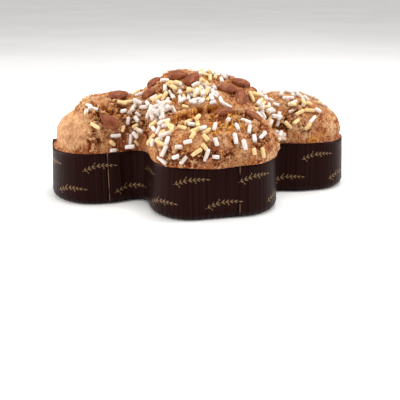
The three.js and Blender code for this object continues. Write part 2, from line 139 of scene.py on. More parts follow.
def linear(code: str) -> Floats:
    """Turns a web colour code into the linear colour that a shader takes.

    Args:
        code: Six hexadecimal digits.

    Returns:
        Red, green, blue and an alpha of 1.
    """
    parts = [int(code[place : place + 2], 16) / 255 for place in (0, 2, 4)]
    red, green, blue = (
        part / 12.92 if part <= 0.04045 else ((part + 0.055) / 1.055) ** 2.4 for part in parts
    )
    return red, green, blue, 1.0


class Desk:
    """A node tree, with short calls that add and join its nodes."""

    def __init__(self, tree: Tree) -> None:
        """Keeps the tree that the nodes go to."""
        self.tree = tree

    def node(
        self, kind: str, inputs: dict[int | str, object] | None = None, **settings: object
    ) -> Node:
        """Adds a node.

        Args:
            kind: The node's type.
            inputs: A value or another node's socket for each input, by name or number.
            **settings: The node's own properties.

        Returns:
            The new node.
        """
        made = self.tree.nodes.new(kind)
        for name, value in settings.items():
            setattr(made, name, value)
        for key, value in (inputs or {}).items():
            if isinstance(value, Socket):
                self.tree.links.new(value, made.inputs[key])
            else:
                made.inputs[key].default_value = value
        return made

    def math(self, operation: str, *terms: Socket | float) -> Socket:
        """Returns the result of a Math node."""
        return self.node("ShaderNodeMath", dict(enumerate(terms)), operation=operation).outputs[0]

    def product(self, *terms: Socket | float) -> Socket:
        """Returns the product of two or more values."""
        return reduce(lambda so_far, term: self.math("MULTIPLY", so_far, term), terms)

    def vector(self, operation: str, *terms: object) -> Socket:
        """Returns the vector that a Vector Math node makes."""
        made = self.node("ShaderNodeVectorMath", dict(enumerate(terms)), operation=operation)
        return made.outputs[0]

    def scaled(self, vector: Socket, factor: Socket | float) -> Socket:
        """Returns a vector times a number."""
        made = self.node("ShaderNodeVectorMath", {0: vector, "Scale": factor}, operation="SCALE")
        return made.outputs[0]

    def noise(self, vector: Socket, size: Socket | float, detail: float, rough: float) -> Socket:
        """Adds a noise whose lumps have a size.

        Args:
            vector: The place, in millimetres.
            size: The lumps' size in millimetres.
            detail: How many finer layers it has.
            rough: How strong the finer layers are.

        Returns:
            The noise, from 0 to 1 and mostly near 0.5.
        """
        scale = self.math("DIVIDE", 1.0, size) if isinstance(size, Socket) else 1 / size
        values = {"Vector": vector, "Scale": scale, "Detail": detail, "Roughness": rough}
        return self.node("ShaderNodeTexNoise", values).outputs[0]

    def swing(self, vector: Socket, size: float, detail: float, rough: float) -> Socket:
        """Returns such a noise, but around 0."""
        return self.math("SUBTRACT", self.noise(vector, size, detail, rough), 0.5)

    def shake(self, vector: Socket, scale: Socket | float, detail: float, rough: float = 0.5) -> Socket:
        """Returns an uneven shift around 0, as a vector.

        Args:
            vector: The place, in millimetres.
            scale: Lumps for each millimetre.
            detail: How many finer layers it has.
            rough: How strong the finer layers are.

        Returns:
            The shift, up to about 0.5 each way.
        """
        values = {"Vector": vector, "Scale": scale, "Detail": detail, "Roughness": rough}
        made = self.node("ShaderNodeTexNoise", values)
        return self.vector("SUBTRACT", made.outputs["Color"], (0.5, 0.5, 0.5))

    def cells(self, vector: Socket, size: float, feature: str = "F1") -> Socket:
        """Returns the distance that a Voronoi pattern of cells that size gives."""
        values = {"Vector": vector, "Scale": 1 / size}
        return self.node("ShaderNodeTexVoronoi", values, feature=feature).outputs["Distance"]

    def ramp(
        self, value: Socket, low: float, high: float, start: float = 0.0, end: float = 1.0
    ) -> Socket:
        """Maps a value smoothly from one range to another.

        Args:
            value: What is mapped.
            low: The value that gives start.
            high: The value that gives end.
            start: The lowest result, or the highest.
            end: The other end of the results.

        Returns:
            The mapped value.
        """
        values = {"Value": value, "From Min": low, "From Max": high, "To Min": start, "To Max": end}
        made = self.node("ShaderNodeMapRange", values, interpolation_type="SMOOTHSTEP")
        return made.outputs[0]

    def blend(self, share: Socket | float, low: object, high: object) -> Socket:
        """Mixes two colours.

        Args:
            share: How much of the second colour shows.
            low: The first colour.
            high: The second colour.

        Returns:
            The mixed colour.
        """
        return self.node("ShaderNodeMix", {0: share, 6: low, 7: high}, data_type="RGBA").outputs[2]

    def place(self) -> Socket:
        """Returns the shading point in object millimetres."""
        return self.scaled(self.node("ShaderNodeTexCoord").outputs["Object"], 1 / MM)

    def attribute(self, name: str) -> Socket:
        """Returns a float attribute of the mesh, for a shader."""
        return self.node("ShaderNodeAttribute", attribute_name=name).outputs["Fac"]

    def named(self, name: str, data_type: str = "FLOAT") -> Socket:
        """Returns an attribute of the mesh, for Geometry Nodes."""
        made = self.node("GeometryNodeInputNamedAttribute", {"Name": name}, data_type=data_type)
        return made.outputs[0]

    def spot(self) -> Socket:
        """Returns each point's place in millimetres, for Geometry Nodes."""
        return self.scaled(self.node("GeometryNodeInputPosition").outputs[0], 1 / MM)

    def outward(self, distance: Socket) -> Socket:
        """Returns a shift along the normal, by a distance in millimetres."""
        normal = self.node("GeometryNodeInputNormal").outputs[0]
        return self.scaled(normal, self.math("MULTIPLY", distance, MM))

    def stored(self, geometry: Socket, **values: Socket) -> Socket:
        """Stores floats on the geometry's points.

        Args:
            geometry: The geometry.
            **values: What is stored, by the attribute's name.

        Returns:
            The geometry with its new attributes.
        """
        for name, value in values.items():
            inputs = {"Geometry": geometry, "Name": name, "Value": value}
            settings = {"data_type": "FLOAT", "domain": "POINT"}
            geometry = self.node("GeometryNodeStoreNamedAttribute", inputs, **settings).outputs[0]
        return geometry

    def moved(self, geometry: Socket, offset: Socket) -> Socket:
        """Returns the geometry with its points moved."""
        made = self.node("GeometryNodeSetPosition", {"Geometry": geometry, "Offset": offset})
        return made.outputs[0]

    def copies(self, points: Socket, instance: Socket, rotation: Socket, scale: Socket) -> Socket:
        """Puts a real copy of a mesh on every point.

        Args:
            points: The points.
            instance: The mesh.
            rotation: Each copy's turn.
            scale: Each copy's size.

        Returns:
            The copies.
        """
        values = {"Points": points, "Instance": instance, "Rotation": rotation, "Scale": scale}
        placed = self.node("GeometryNodeInstanceOnPoints", values).outputs[0]
        return self.node("GeometryNodeRealizeInstances", {0: placed}).outputs[0]


class Kind(Enum):
    """The kinds of input that a tree of nodes may have."""

    FLOAT = "NodeSocketFloat"
    INT = "NodeSocketInt"
    VECTOR = "NodeSocketVector"
    GEOMETRY = "NodeSocketGeometry"
    OBJECT = "NodeSocketObject"
    MATERIAL = "NodeSocketMaterial"


def new_tree(
    name: str, type_name: str, inputs: dict[str, Kind], outputs: dict[str, Kind]
) -> tuple[Desk, Node, Node]:
    """Starts a tree of nodes with named sockets.

    Args:
        name: The tree's name.
        type_name: A shader or a geometry tree.
        inputs: The kind of each input.
        outputs: The kind of each output.

    Returns:
        The desk for its nodes, its input node and its output node.
    """
    tree = bpy.data.node_groups.new(name, type_name)
    for label, kind in inputs.items():
        tree.interface.new_socket(label, in_out="INPUT", socket_type=kind.value)
    for label, kind in outputs.items():
        tree.interface.new_socket(label, in_out="OUTPUT", socket_type=kind.value)
    desk = Desk(tree)
    return desk, desk.node("NodeGroupInput"), desk.node("NodeGroupOutput")


def geometry_tree(name: str, floats: Iterable[str], **others: Kind) -> tuple[Desk, Node]:
    """Starts a Geometry Nodes tree with a geometry going in, and the named inputs.

    Args:
        name: The tree's name.
        floats: The names of its plain numbers.
        **others: The kind of each further input.

    Returns:
        The desk for its nodes, and its input node.
    """
    asked = {"Geometry": Kind.GEOMETRY, **dict.fromkeys(floats, Kind.FLOAT), **others}
    asked["Finish"] = Kind.MATERIAL
    desk, start, _ = new_tree(name, "GeometryNodeTree", asked, {"Geometry": Kind.GEOMETRY})
    return desk, start


def close_tree(desk: Desk, start: Node, geometry: Socket) -> Tree:
    """Ends a Geometry Nodes tree: smooth faces, real meshes and the finish.

    Args:
        desk: The tree's desk.
        start: The tree's input node.
        geometry: What the tree has made.

    Returns:
        The finished tree.
    """
    smooth = desk.node("GeometryNodeSetShadeSmooth", {0: geometry}).outputs[0]
    real = desk.node("GeometryNodeRealizeInstances", {0: smooth}).outputs[0]
    dressed = desk.node("GeometryNodeSetMaterial", {0: real, "Material": start.outputs["Finish"]})
    end = next(node for node in desk.tree.nodes if node.bl_idname == "NodeGroupOutput")
    desk.tree.links.new(dressed.outputs[0], end.inputs[0])
    return desk.tree


def run_tree(piece: Piece, tree: Tree, values: dict[str, object]) -> Piece:
    """Runs a Geometry Nodes tree on a piece and keeps the result as its plain mesh.

    Args:
        piece: The object that the tree starts from.
        tree: The tree.
        values: The tree's inputs by name.

    Returns:
        The same object with its new mesh.
    """
    modifier = piece.modifiers.new(tree.name, "NODES")
    modifier.node_group = tree
    for item in tree.interface.items_tree:
        if item.in_out == "INPUT" and item.name in values:
            modifier[item.identifier] = values[item.name]
    graph = bpy.context.evaluated_depsgraph_get()
    seen = piece.evaluated_get(graph)
    mesh = bpy.data.meshes.new_from_object(seen, preserve_all_data_layers=True, depsgraph=graph)
    piece.modifiers.remove(modifier)
    before = piece.data
    piece.data = mesh
    bpy.data.meshes.remove(before)
    return piece


def new_piece(name: str, points: Array, faces: Sequence[Sequence[int]] | Array) -> Piece:
    """Makes an object at the origin from points in millimetres.

    Args:
        name: The object's name.
        points: The points in the bread's own millimetre frame.
        faces: The corners of each face.

    Returns:
        The object, linked to the scene and shaded smooth.
    """
    placed = (np.asarray(points, float) + (CENTRED, 0.0, 0.0)) * MM
    mesh = bpy.data.meshes.new(name)
    mesh.from_pydata(placed.tolist(), [], [list(map(int, face)) for face in faces])
    mesh.update()
    mesh.polygons.foreach_set("use_smooth", np.ones(len(mesh.polygons), bool))
    piece = bpy.data.objects.new(name, mesh)
    bpy.context.collection.objects.link(piece)
    return piece


def put_attribute(piece: Piece, name: str, values: Array) -> None:
    """Stores one float or vector for each point of a piece's mesh.

    Args:
        piece: The object.
        name: The attribute's name.
        values: One row for each point.
    """
    kind, field_name = ("FLOAT", "value") if values.ndim == 1 else ("FLOAT_VECTOR", "vector")
    made = piece.data.attributes.new(name, kind, "POINT")
    made.data.foreach_set(field_name, np.ascontiguousarray(values, np.float32).ravel())


def stacked(rings: list[Array]) -> tuple[Array, Faces]:
    """Joins a stack of closed rings, each with as many points as the next, or twice as many.

    Args:
        rings: The rings' points from the bottom up; one of 1 point closes an end.

    Returns:
        The points and the faces, which face outwards when the rings run anticlockwise.
    """
    counts = [len(ring) for ring in rings]
    faces: Faces = []
    start = 0
    for low, high in zip(counts, counts[1:]):
        above = start + low
        for side in range(min(low, high) if min(low, high) > 1 else max(low, high)):
            if low == high:
                after = (side + 1) % low
                faces.append((start + side, start + after, above + after, above + side))
            elif low == 1:
                faces.append((start, above + (side + 1) % high, above + side))
            elif high == 1:
                faces.append((start + side, start + (side + 1) % low, above))
            elif low == 2 * high:
                a, b, c = (start + (2 * side + step) % low for step in range(3))
                d, e = above + side, above + (side + 1) % high
                faces += [(a, b, d), (b, e, d), (b, c, e)]
            else:
                raise ValueError(f"rings of {low} and {high} points don't join")
        start = above
    return np.vstack(rings), faces


@dataclass(frozen=True)
class Plan:
    """The dove's outline: head at -X, tail at +X and the wings along Y."""

    head_reach: float = 153.0
    head_half: float = 46.0
    head_round: float = 43.0
    tail_reach: float = 147.0
    tail_half: float = 52.0
    tail_round: float = 36.0
    wing_reach: float = 107.5
    wing_half: float = 61.0
    wing_round: float = 38.0
    wing_shift: float = -4.5
    body_half: float = 40.0
    body_long: float = 70.0
    body_round: float = 20.0
    lobe_start: float = 58.0
    wing_start: float = 30.0
    notch: float = 26.0

    @staticmethod
    def box(x: Array, y: Array, half_x: float, half_y: float, corner: float) -> Array:
        """Gives the signed distance to a rectangle with round corners.

        Args:
            x: Places from its middle, along it.
            y: Places from its middle, across it.
            half_x: Half its length.
            half_y: Half its width.
            corner: The corners' radius.

        Returns:
            Distances, negative inside.
        """
        over_x = np.abs(x) - (half_x - corner)
        over_y = np.abs(y) - (half_y - corner)
        outside = np.hypot(np.maximum(over_x, 0), np.maximum(over_y, 0))
        return outside + np.minimum(np.maximum(over_x, over_y), 0) - corner

    def joined(self, first: Array, second: Array) -> Array:
        """Joins two signed distances with a round notch between them."""
        overlap = np.maximum(self.notch - np.abs(first - second), 0) / self.notch
        return np.minimum(first, second) - overlap**2 * self.notch / 4

    def distance(self, x: Array, y: Array) -> Array:
        """Gives the signed distance to the outline.

        Args:
            x: Places along the dove.
            y: Places across it.

        Returns:
            Distances, negative inside.
        """
        head = (self.head_reach - self.lobe_start) / 2
        tail = (self.tail_reach - self.lobe_start) / 2
        wing = (self.wing_reach - self.wing_start) / 2
        shape = self.box(x, y, self.body_long, self.body_half, self.body_round)
        lobe = self.box(x + self.lobe_start + head, y, head, self.head_half, self.head_round)
        shape = self.joined(shape, lobe)
        lobe = self.box(x - self.lobe_start - tail, y, tail, self.tail_half, self.tail_round)
        shape = self.joined(shape, lobe)
        across = np.abs(y) - self.wing_start - wing
        wings = self.box(x - self.wing_shift, across, self.wing_half, wing, self.wing_round)
        return self.joined(shape, wings)

    def outline(self, count: int) -> "Outline":
        """Walks round the outline in even steps.

        Args:
            count: How many stations there are.

        Returns:
            The stations, anticlockwise from the tail.
        """
        bearing = np.linspace(0, FULL_TURN, 8 * count, endpoint=False)
        rays = np.stack([np.cos(bearing), np.sin(bearing)], 1)
        inner, outer = np.zeros(len(rays)), np.full(len(rays), self.head_reach + self.tail_reach)
        for _ in range(44):
            middle = (inner + outer) / 2
            within = self.distance(rays[:, 0] * middle, rays[:, 1] * middle) < 0
            inner, outer = np.where(within, middle, inner), np.where(within, outer, middle)
        dense = rays * inner[:, None]
        closed = np.vstack([dense, dense[:1]])
        walked = np.concatenate([[0], np.cumsum(np.linalg.norm(np.diff(closed, axis=0), axis=1))])
        wanted = np.linspace(0, walked[-1], count, endpoint=False)
        points = np.stack([np.interp(wanted, walked, closed[:, axis]) for axis in (0, 1)], 1)
        along = unit(np.roll(points, -1, 0) - np.roll(points, 1, 0))
        outward = np.stack([along[:, 1], -along[:, 0]], 1)
        return Outline(points, outward, wanted, float(walked[-1]))


@dataclass(frozen=True)
class Outline:
    """Stations round the dove: where they are, which way is out and how far round."""

    points: Array
    outward: Array
    walked: Array
    length: float

    def level(self, moved: Values, height: Values) -> Array:
        """Returns one ring: the outline moved outwards, at a height."""
        flat = self.points + self.outward * np.broadcast_to(moved, len(self.points))[:, None]
        return np.column_stack([flat, np.broadcast_to(height, len(flat))])

    def at(self, walked: Array) -> tuple[Array, Array]:
        """Finds places by their distance round the outline.

        Args:
            walked: Distances anticlockwise from the tail.

        Returns:
            The points and the outward directions.
        """
        rounds = np.append(self.walked, self.length)
        found = []
        for table in (self.points, self.outward):
            closed = np.vstack([table, table[:1]])
            columns = [np.interp(walked % self.length, rounds, closed[:, axis]) for axis in (0, 1)]
            found.append(np.stack(columns, -1))
        return found[0], unit(found[1])


@dataclass(frozen=True)
class Wall:
    """The paper wall's form."""

    rim: float = 50.0
    paper: float = 1.0
    lean: float = 2.6
    foot: float = 7.0

    def lean_at(self, height: Values) -> Array:
        """Returns how far the wall stands inside the plan at a height."""
        above = np.maximum(np.asarray(height, float) - self.foot, 0)
        return self.lean * above / (self.rim - self.foot)

    def foot_ring(self, skin: float, degrees: float) -> Floats:
        """Gives one ring of the round foot.

        Args:
            skin: How far inside the paper's outer face it lies.
            degrees: 0 at the flat bottom and 90 where the wall starts.

        Returns:
            How far the ring is moved outwards, and its height.
        """
        bend = self.foot - skin
        turn = math.radians(degrees)
        return -skin - bend * (1 - math.sin(turn)), skin + bend * (1 - math.cos(turn))


@dataclass(frozen=True)
class Crown:
    """The form of the crust above the rim, and how places on it are found."""

    plan: Plan = Plan()
    wall: Wall = Wall()
    widest: float = 54.0
    shoulder_rise: float = 26.0
    shoulder_width: float = 37.0
    shoulder_power: float = 2.15
    tilt: float = 0.03
    dome_rise: float = 34.2
    dome_centre: float = -13.0
    dome_head: float = 61.0
    dome_tail: float = 74.0
    dome_side: float = 40.0
    overhang: float = 2.8
    head_inset: float = 5.2
    tail_inset: float = 4.8
    seam_radius: float = 75.0
    seam_offset: float = 10.0
    seam_depth: float = 4.5
    seam_half: float = 6.0
    seam_start: float = 18.0
    seam_fade: float = 22.0
    terrace_rise: float = 3.0
    terrace_slope: float = 3.0
    head_edge: float = -121.0
    head_slope: float = 2.2
    head_step: float = 7.0
    head_swell: float = 2.0
    waves: int = 8
    wave_rise: float = 0.75
    wave_lengths: Floats = (30.0, 78.0)
    heart: Floats = (0.0, 0.0, 42.0)
    frame_step: float = 2.5

    def reach(self, x: Array, y: Array) -> Array:
        """Returns how far the widest line stands outside the plan, most at the wings."""
        inset = np.where(x < 0, self.head_inset, self.tail_inset)
        sideways = np.abs(y) / np.sqrt(x * x + y * y + 1e-9)
        return mix(-self.wall.lean - inset, self.overhang - self.wall.lean, sideways)

    def swelling(self, x: Array, y: Array) -> Array:
        """Gives the slow swelling of the crust, from long crossing waves.

        Args:
            x: Places along the dove.
            y: Places across it.

        Returns:
            Rises, above and below 0.
        """
        height = np.zeros_like(x)
        for wave in range(self.waves):
            heading = FULL_TURN * draw(wave, 1)
            length, phase = mix(*self.wave_lengths, draw(wave, 2)), FULL_TURN * draw(wave, 3)
            height += np.sin(FULL_TURN * (x * np.cos(heading) + y * np.sin(heading)) / length + phase)
        return self.wave_rise * height

    def seam_reach(self, x: Array, y: Array) -> Array:
        """Gives how far places lie outside the ragged seam between dome and wing.

        Args:
            x: Places along the dove.
            y: Places across it.

        Returns:
            Distances, negative on the dome's side.
        """
        side = np.where(y < 0, -1.0, 1.0)
        ragged = 2.6 * np.sin(FULL_TURN * x / 44 + side) + 1.7 * np.sin(FULL_TURN * x / 19.5 + 2 * side)
        middle = np.hypot(x - self.plan.wing_shift, np.abs(y) + self.seam_offset)
        return middle - self.seam_radius + ragged

    def head_line(self, y: Array) -> Array:
        """Returns where along the dove the head's terrace breaks off, for places across it."""
        return self.head_edge + 4 * np.sin(FULL_TURN * y / 50) + 2 * np.sin(FULL_TURN * y / 21)

    def relief(self, x: Array, y: Array) -> Array:
        """Gives the crust's own relief: swelling, wing seams and the head's terrace.

        Args:
            x: Places along the dove.
            y: Places across it.

        Returns:
            Rises, above and below 0.
        """
        outside = self.seam_reach(x, y)
        share = np.clip((np.abs(y) - self.seam_start) / self.seam_fade, 0, 1)
        groove = self.seam_depth * np.exp(-((outside / self.seam_half) ** 2))
        terrace = self.terrace_rise / (1 + np.exp(outside / self.terrace_slope))
        head = self.head_swell - self.head_step / (1 + np.exp((x - self.head_line(y)) / self.head_slope))
        return self.swelling(x, y) + share * (terrace - groove) + head

    def height(self, x: Array, y: Array) -> Array:
        """Gives the height of the crust over a place of the plan.

        Args:
            x: Places along the dove.
            y: Places across it.

        Returns:
            Heights above the table.
        """
        depth = np.clip((self.reach(x, y) - self.plan.distance(x, y)) / self.shoulder_width, 0, 1)
        shoulder = (1 - (1 - depth) ** self.shoulder_power) ** (1 / self.shoulder_power)
        spread = np.where(x < self.dome_centre, self.dome_head, self.dome_tail)
        away = ((x - self.dome_centre) / spread) ** 2 + (y / self.dome_side) ** 2
        rise = self.shoulder_rise - self.tilt * x + self.relief(x, y)
        return self.widest + rise * shoulder + self.dome_rise * np.exp(-away / 2)

    def spots(self, rays: Array) -> Array:
        """Finds where rays from the loaf's heart come out of the crust.

        Args:
            rays: Directions, one a row.

        Returns:
            The points on the crust.
        """
        heart, rays = np.array(self.heart), unit(rays)
        farthest = self.plan.head_reach + self.plan.tail_reach
        inner, outer = np.zeros(len(rays)), np.full(len(rays), farthest)
        for _ in range(30):
            middle = (inner + outer) / 2
            point = heart + rays * middle[:, None]
            x, y, z = point.T
            within = (self.reach(x, y) > self.plan.distance(x, y)) & (z < self.height(x, y))
            inner, outer = np.where(within, middle, inner), np.where(within, outer, middle)
        return heart + rays * inner[:, None]

    def toward(self, bearing: Values, climb: Values) -> Array:
        """Finds the crust spots in some directions from the heart.

        Args:
            bearing: Degrees round the dove.
            climb: Degrees above level.

        Returns:
            The spots, one a row.
        """
        turn, rise = np.radians(np.atleast_1d(bearing)), np.radians(np.atleast_1d(climb))
        flat = np.cos(rise)
        return self.spots(np.stack([flat * np.cos(turn), flat * np.sin(turn), np.sin(rise)], 1))

    def frames(self, spots: Array, headings: Values) -> Array:
        """Gives the axes of the crust at some spots.

        Args:
            spots: Points on the crust.
            headings: Degrees from level towards uphill, for each spot.

        Returns:
            For each spot a matrix whose columns run along, across and out.
        """
        ray = spots - np.array(self.heart)
        sideways = unit(np.stack([-ray[:, 1], ray[:, 0], np.zeros(len(ray))], 1))
        upwards = unit(np.cross(ray, sideways))
        spans = [
            self.spots(ray + axis * self.frame_step) - self.spots(ray - axis * self.frame_step)
            for axis in (sideways, upwards)
        ]
        flat = unit(spans[0])
        out = unit(np.cross(flat, spans[1]))
        turn = np.radians(np.broadcast_to(headings, len(ray)))[:, None]
        along = flat * np.cos(turn) + np.cross(out, flat) * np.sin(turn)
        return np.stack([along, np.cross(out, along), out], 2)


@dataclass(frozen=True)
class Tear:
    """A tear in the crust between two spots, given by bearing and climb in degrees."""

    start: Floats
    end: Floats
    bow: float
    width: float
    depth: float

    def path(self, crown: Crown, steps: int) -> tuple[Array, Array]:
        """Walks the tear's middle line.

        Args:
            crown: The crust that it lies in.
            steps: How many points there are.

        Returns:
            The points, and how wide open the tear is at each, from 0 to 1.
        """
        share = np.linspace(0, 1, steps)
        swell = np.sin(math.pi * share)
        bearing = mix(self.start[0], self.end[0], share)
        climb = mix(self.start[1], self.end[1], share) + self.bow * swell
        return crown.toward(bearing, climb), swell


class Crust(Enum):
    """The kinds of crust that a patch may have."""

    CRAG = "crag"
    CALM = "calm"
    CRUMB = "amber"
    # Darker patches: partly baked browning, partly painted shade under overhangs and in seams.
    TOAST_AND_SHADE = "toast"


@dataclass(frozen=True)
class Spot:
    """A place on the crust, by bearing and climb in degrees seen from the loaf's heart."""

    bearing: float
    climb: float

    def on(self, crown: Crown) -> Array:
        """Returns the place's point on the crust."""
        return crown.toward(self.bearing, self.climb)[0]


@dataclass(frozen=True)
class Patch(Spot):
    """A patch of one kind of crust."""

    radius: float
    strength: float
    kind: Crust


@dataclass(frozen=True)
class Bowl(Spot):
    """A small hollow with a raised ring."""

    radius: float
    depth: float


BOWLS = (
    Bowl(-101, 11, 5.6, 2.6),
    Bowl(-33, 33, 4.5, 2.0),
    Bowl(112, 14, 5.2, 2.2),
)
TEARS = (
    Tear((-119, 25), (-62, 24), 10, 10, 6),
    Tear((118, 25), (60, 24), 9, 12, 8),
    Tear((-35, 9), (-29, 22), 2, 12, 2.6),
    Tear((-143, 11), (-138, 27), 3, 7, 6),
    Tear((-173, 24), (-160, 18), 2, 6, 5.5),
    Tear((-171, 24), (-153, 29), 1, 5, 5),
    Tear((-122, 25), (-88, 38), 3, 8, 8),
    Tear((72, 33), (104, 37), 2, 7, 7),
)
# Each kind's patches as bearing, climb, radius and strength.
PATCH_ROWS: dict[Crust, tuple[Floats, ...]] = {
    Crust.CRAG: (
        (-175, 23.5, 9, 0.9), (-168, 22.5, 9, 1), (-164, 23, 10, 1), (-163, 18.5, 6, 0.8),
        (-166, 28, 11, 0.8), (-158, 24, 9, 0.7), (-113, 28, 11, 0.8), (-78, 28, 11, 0.8),
        (-67, 23, 12, 0.9), (-74, 16, 11, 0.6), (-120, 8.5, 9, 0.9), (-114, 8, 10, 1),
        (-108, 7, 9, 0.9), (-101, 9.5, 8, 0.9), (-95, 8, 8, 0.5), (-156, 5, 9, 0.7),
        (-29, 18, 9, 0.9), (-22, 24, 10, 0.6), (-38, 26, 9, 0.8), (-140, 50, 10, 0.5),
        (-62, 48, 11, 0.6), (96, 27, 14, 1), (74, 27, 12, 1), (118, 10, 11, 0.8), (60, 9, 11, 0.8),
        (170, 23, 12, 1), (26, 20, 11, 0.7), (35, 52, 12, 0.6), (120, 60, 11, 0.6), (-160, 8, 9, 0.4),
        (-171, 4, 7, 0.8), (-164, 4, 7, 0.8), (-74, 7, 9, 0.25), (-90, 9, 7, 0.5), (-92, 27, 10, 0.7),
        (-68, 14, 9, 0.5), (-58, 12, 9, 0.6), (-86, 16, 7, 0.4), (-16, 10, 8, 0.5),
    ),
    Crust.CALM: (
        (-168, 12, 25, 1), (178, 13, 25, 1), (-84, 11, 12, 0.5), (-103, 17, 12, 0.6),
        (-18, 8, 13, 0.7), (88, 13, 22, 0.9), (144, 10, 16, 0.8), (8, 11, 20, 0.8),
    ),
    Crust.CRUMB: (
        (-89, 24.5, 11, 1), (-81, 26, 10, 1), (-96, 21.5, 7, 0.8), (-117, 31, 8, 1),
        (-109, 35, 7, 0.9), (-128, 44, 7, 0.8), (-163, 24, 5, 0.9), (-31, 14, 10, 1), (-25, 5, 5, 1),
        (-84, 55, 8, 0.7), (86, 26, 11, 1), (106, 31, 8, 0.8), (20, 30, 7, 0.8), (150, 27, 7, 0.8),
        (-96, 35, 11, 0.9), (-94, 28, 9, 0.9), (-86, 31, 8, 0.8), (-84, 42, 8, 0.7),
        (-140, 58, 8, 0.8),
    ),
    # Darker patches: partly baked browning, partly painted shade under overhangs and in seams.
    Crust.TOAST_AND_SHADE: (
        (-98, 7.5, 13, 0.8), (-160, 8, 15, 1), (-90, 8, 9, 0.8), (-90, 41, 16, 0.8), (-90, 27, 16, 1),
        (-128, 56, 16, 0.8), (-113, 9, 13, 0.7), (-72, 17, 13, 0.5), (-156, 10, 14, 0.9),
        (-149, 17, 13, 0.7), (-102, 33, 15, 0.9), (-117, 29, 11, 0.9), (-30, 21, 13, 0.9),
        (-164, 24, 13, 0.9), (-133, 22, 15, 0.6), (-58, 47, 14, 0.7), (-16, 17, 12, 0.6),
        (88, 30, 17, 0.9), (112, 9, 15, 0.8), (64, 12, 14, 0.8), (24, 22, 15, 0.8),
        (165, 25, 14, 0.8), (130, 55, 16, 0.6),
    ),
}
PATCHES = tuple(Patch(*row, kind) for kind, rows in PATCH_ROWS.items() for row in rows)


# The noises in the crust's relief: their lumps' size, their layers and how rough they are.
CRUST_NOISE = {
    "lump": (24.0, 2.0, 0.5),
    "pebble": (5.6, 4.0, 0.62),
    "string": (3.6, 4.0, 0.7),
    "fold": (8.5, 4.0, 0.62),
    "rough": (27.0, 3.0, 0.6),
    "broken": (14.0, 2.0, 0.5),
    "sparse": (8.0, 2.0, 0.5),
}
# How far each kind of relief rises or sinks, in millimetres.
CRUST_RELIEF = {
    "Lump rise": 2.1,
    "Pebble rise": 1.15,
    "Plate depth": 1.9,
    "Crag rise": 4.6,
    "Crumble rise": 2.4,
    "Pit depth": 1.2,
    "Crumb rise": 2.0,
    "Torn edge": 1.1,
}


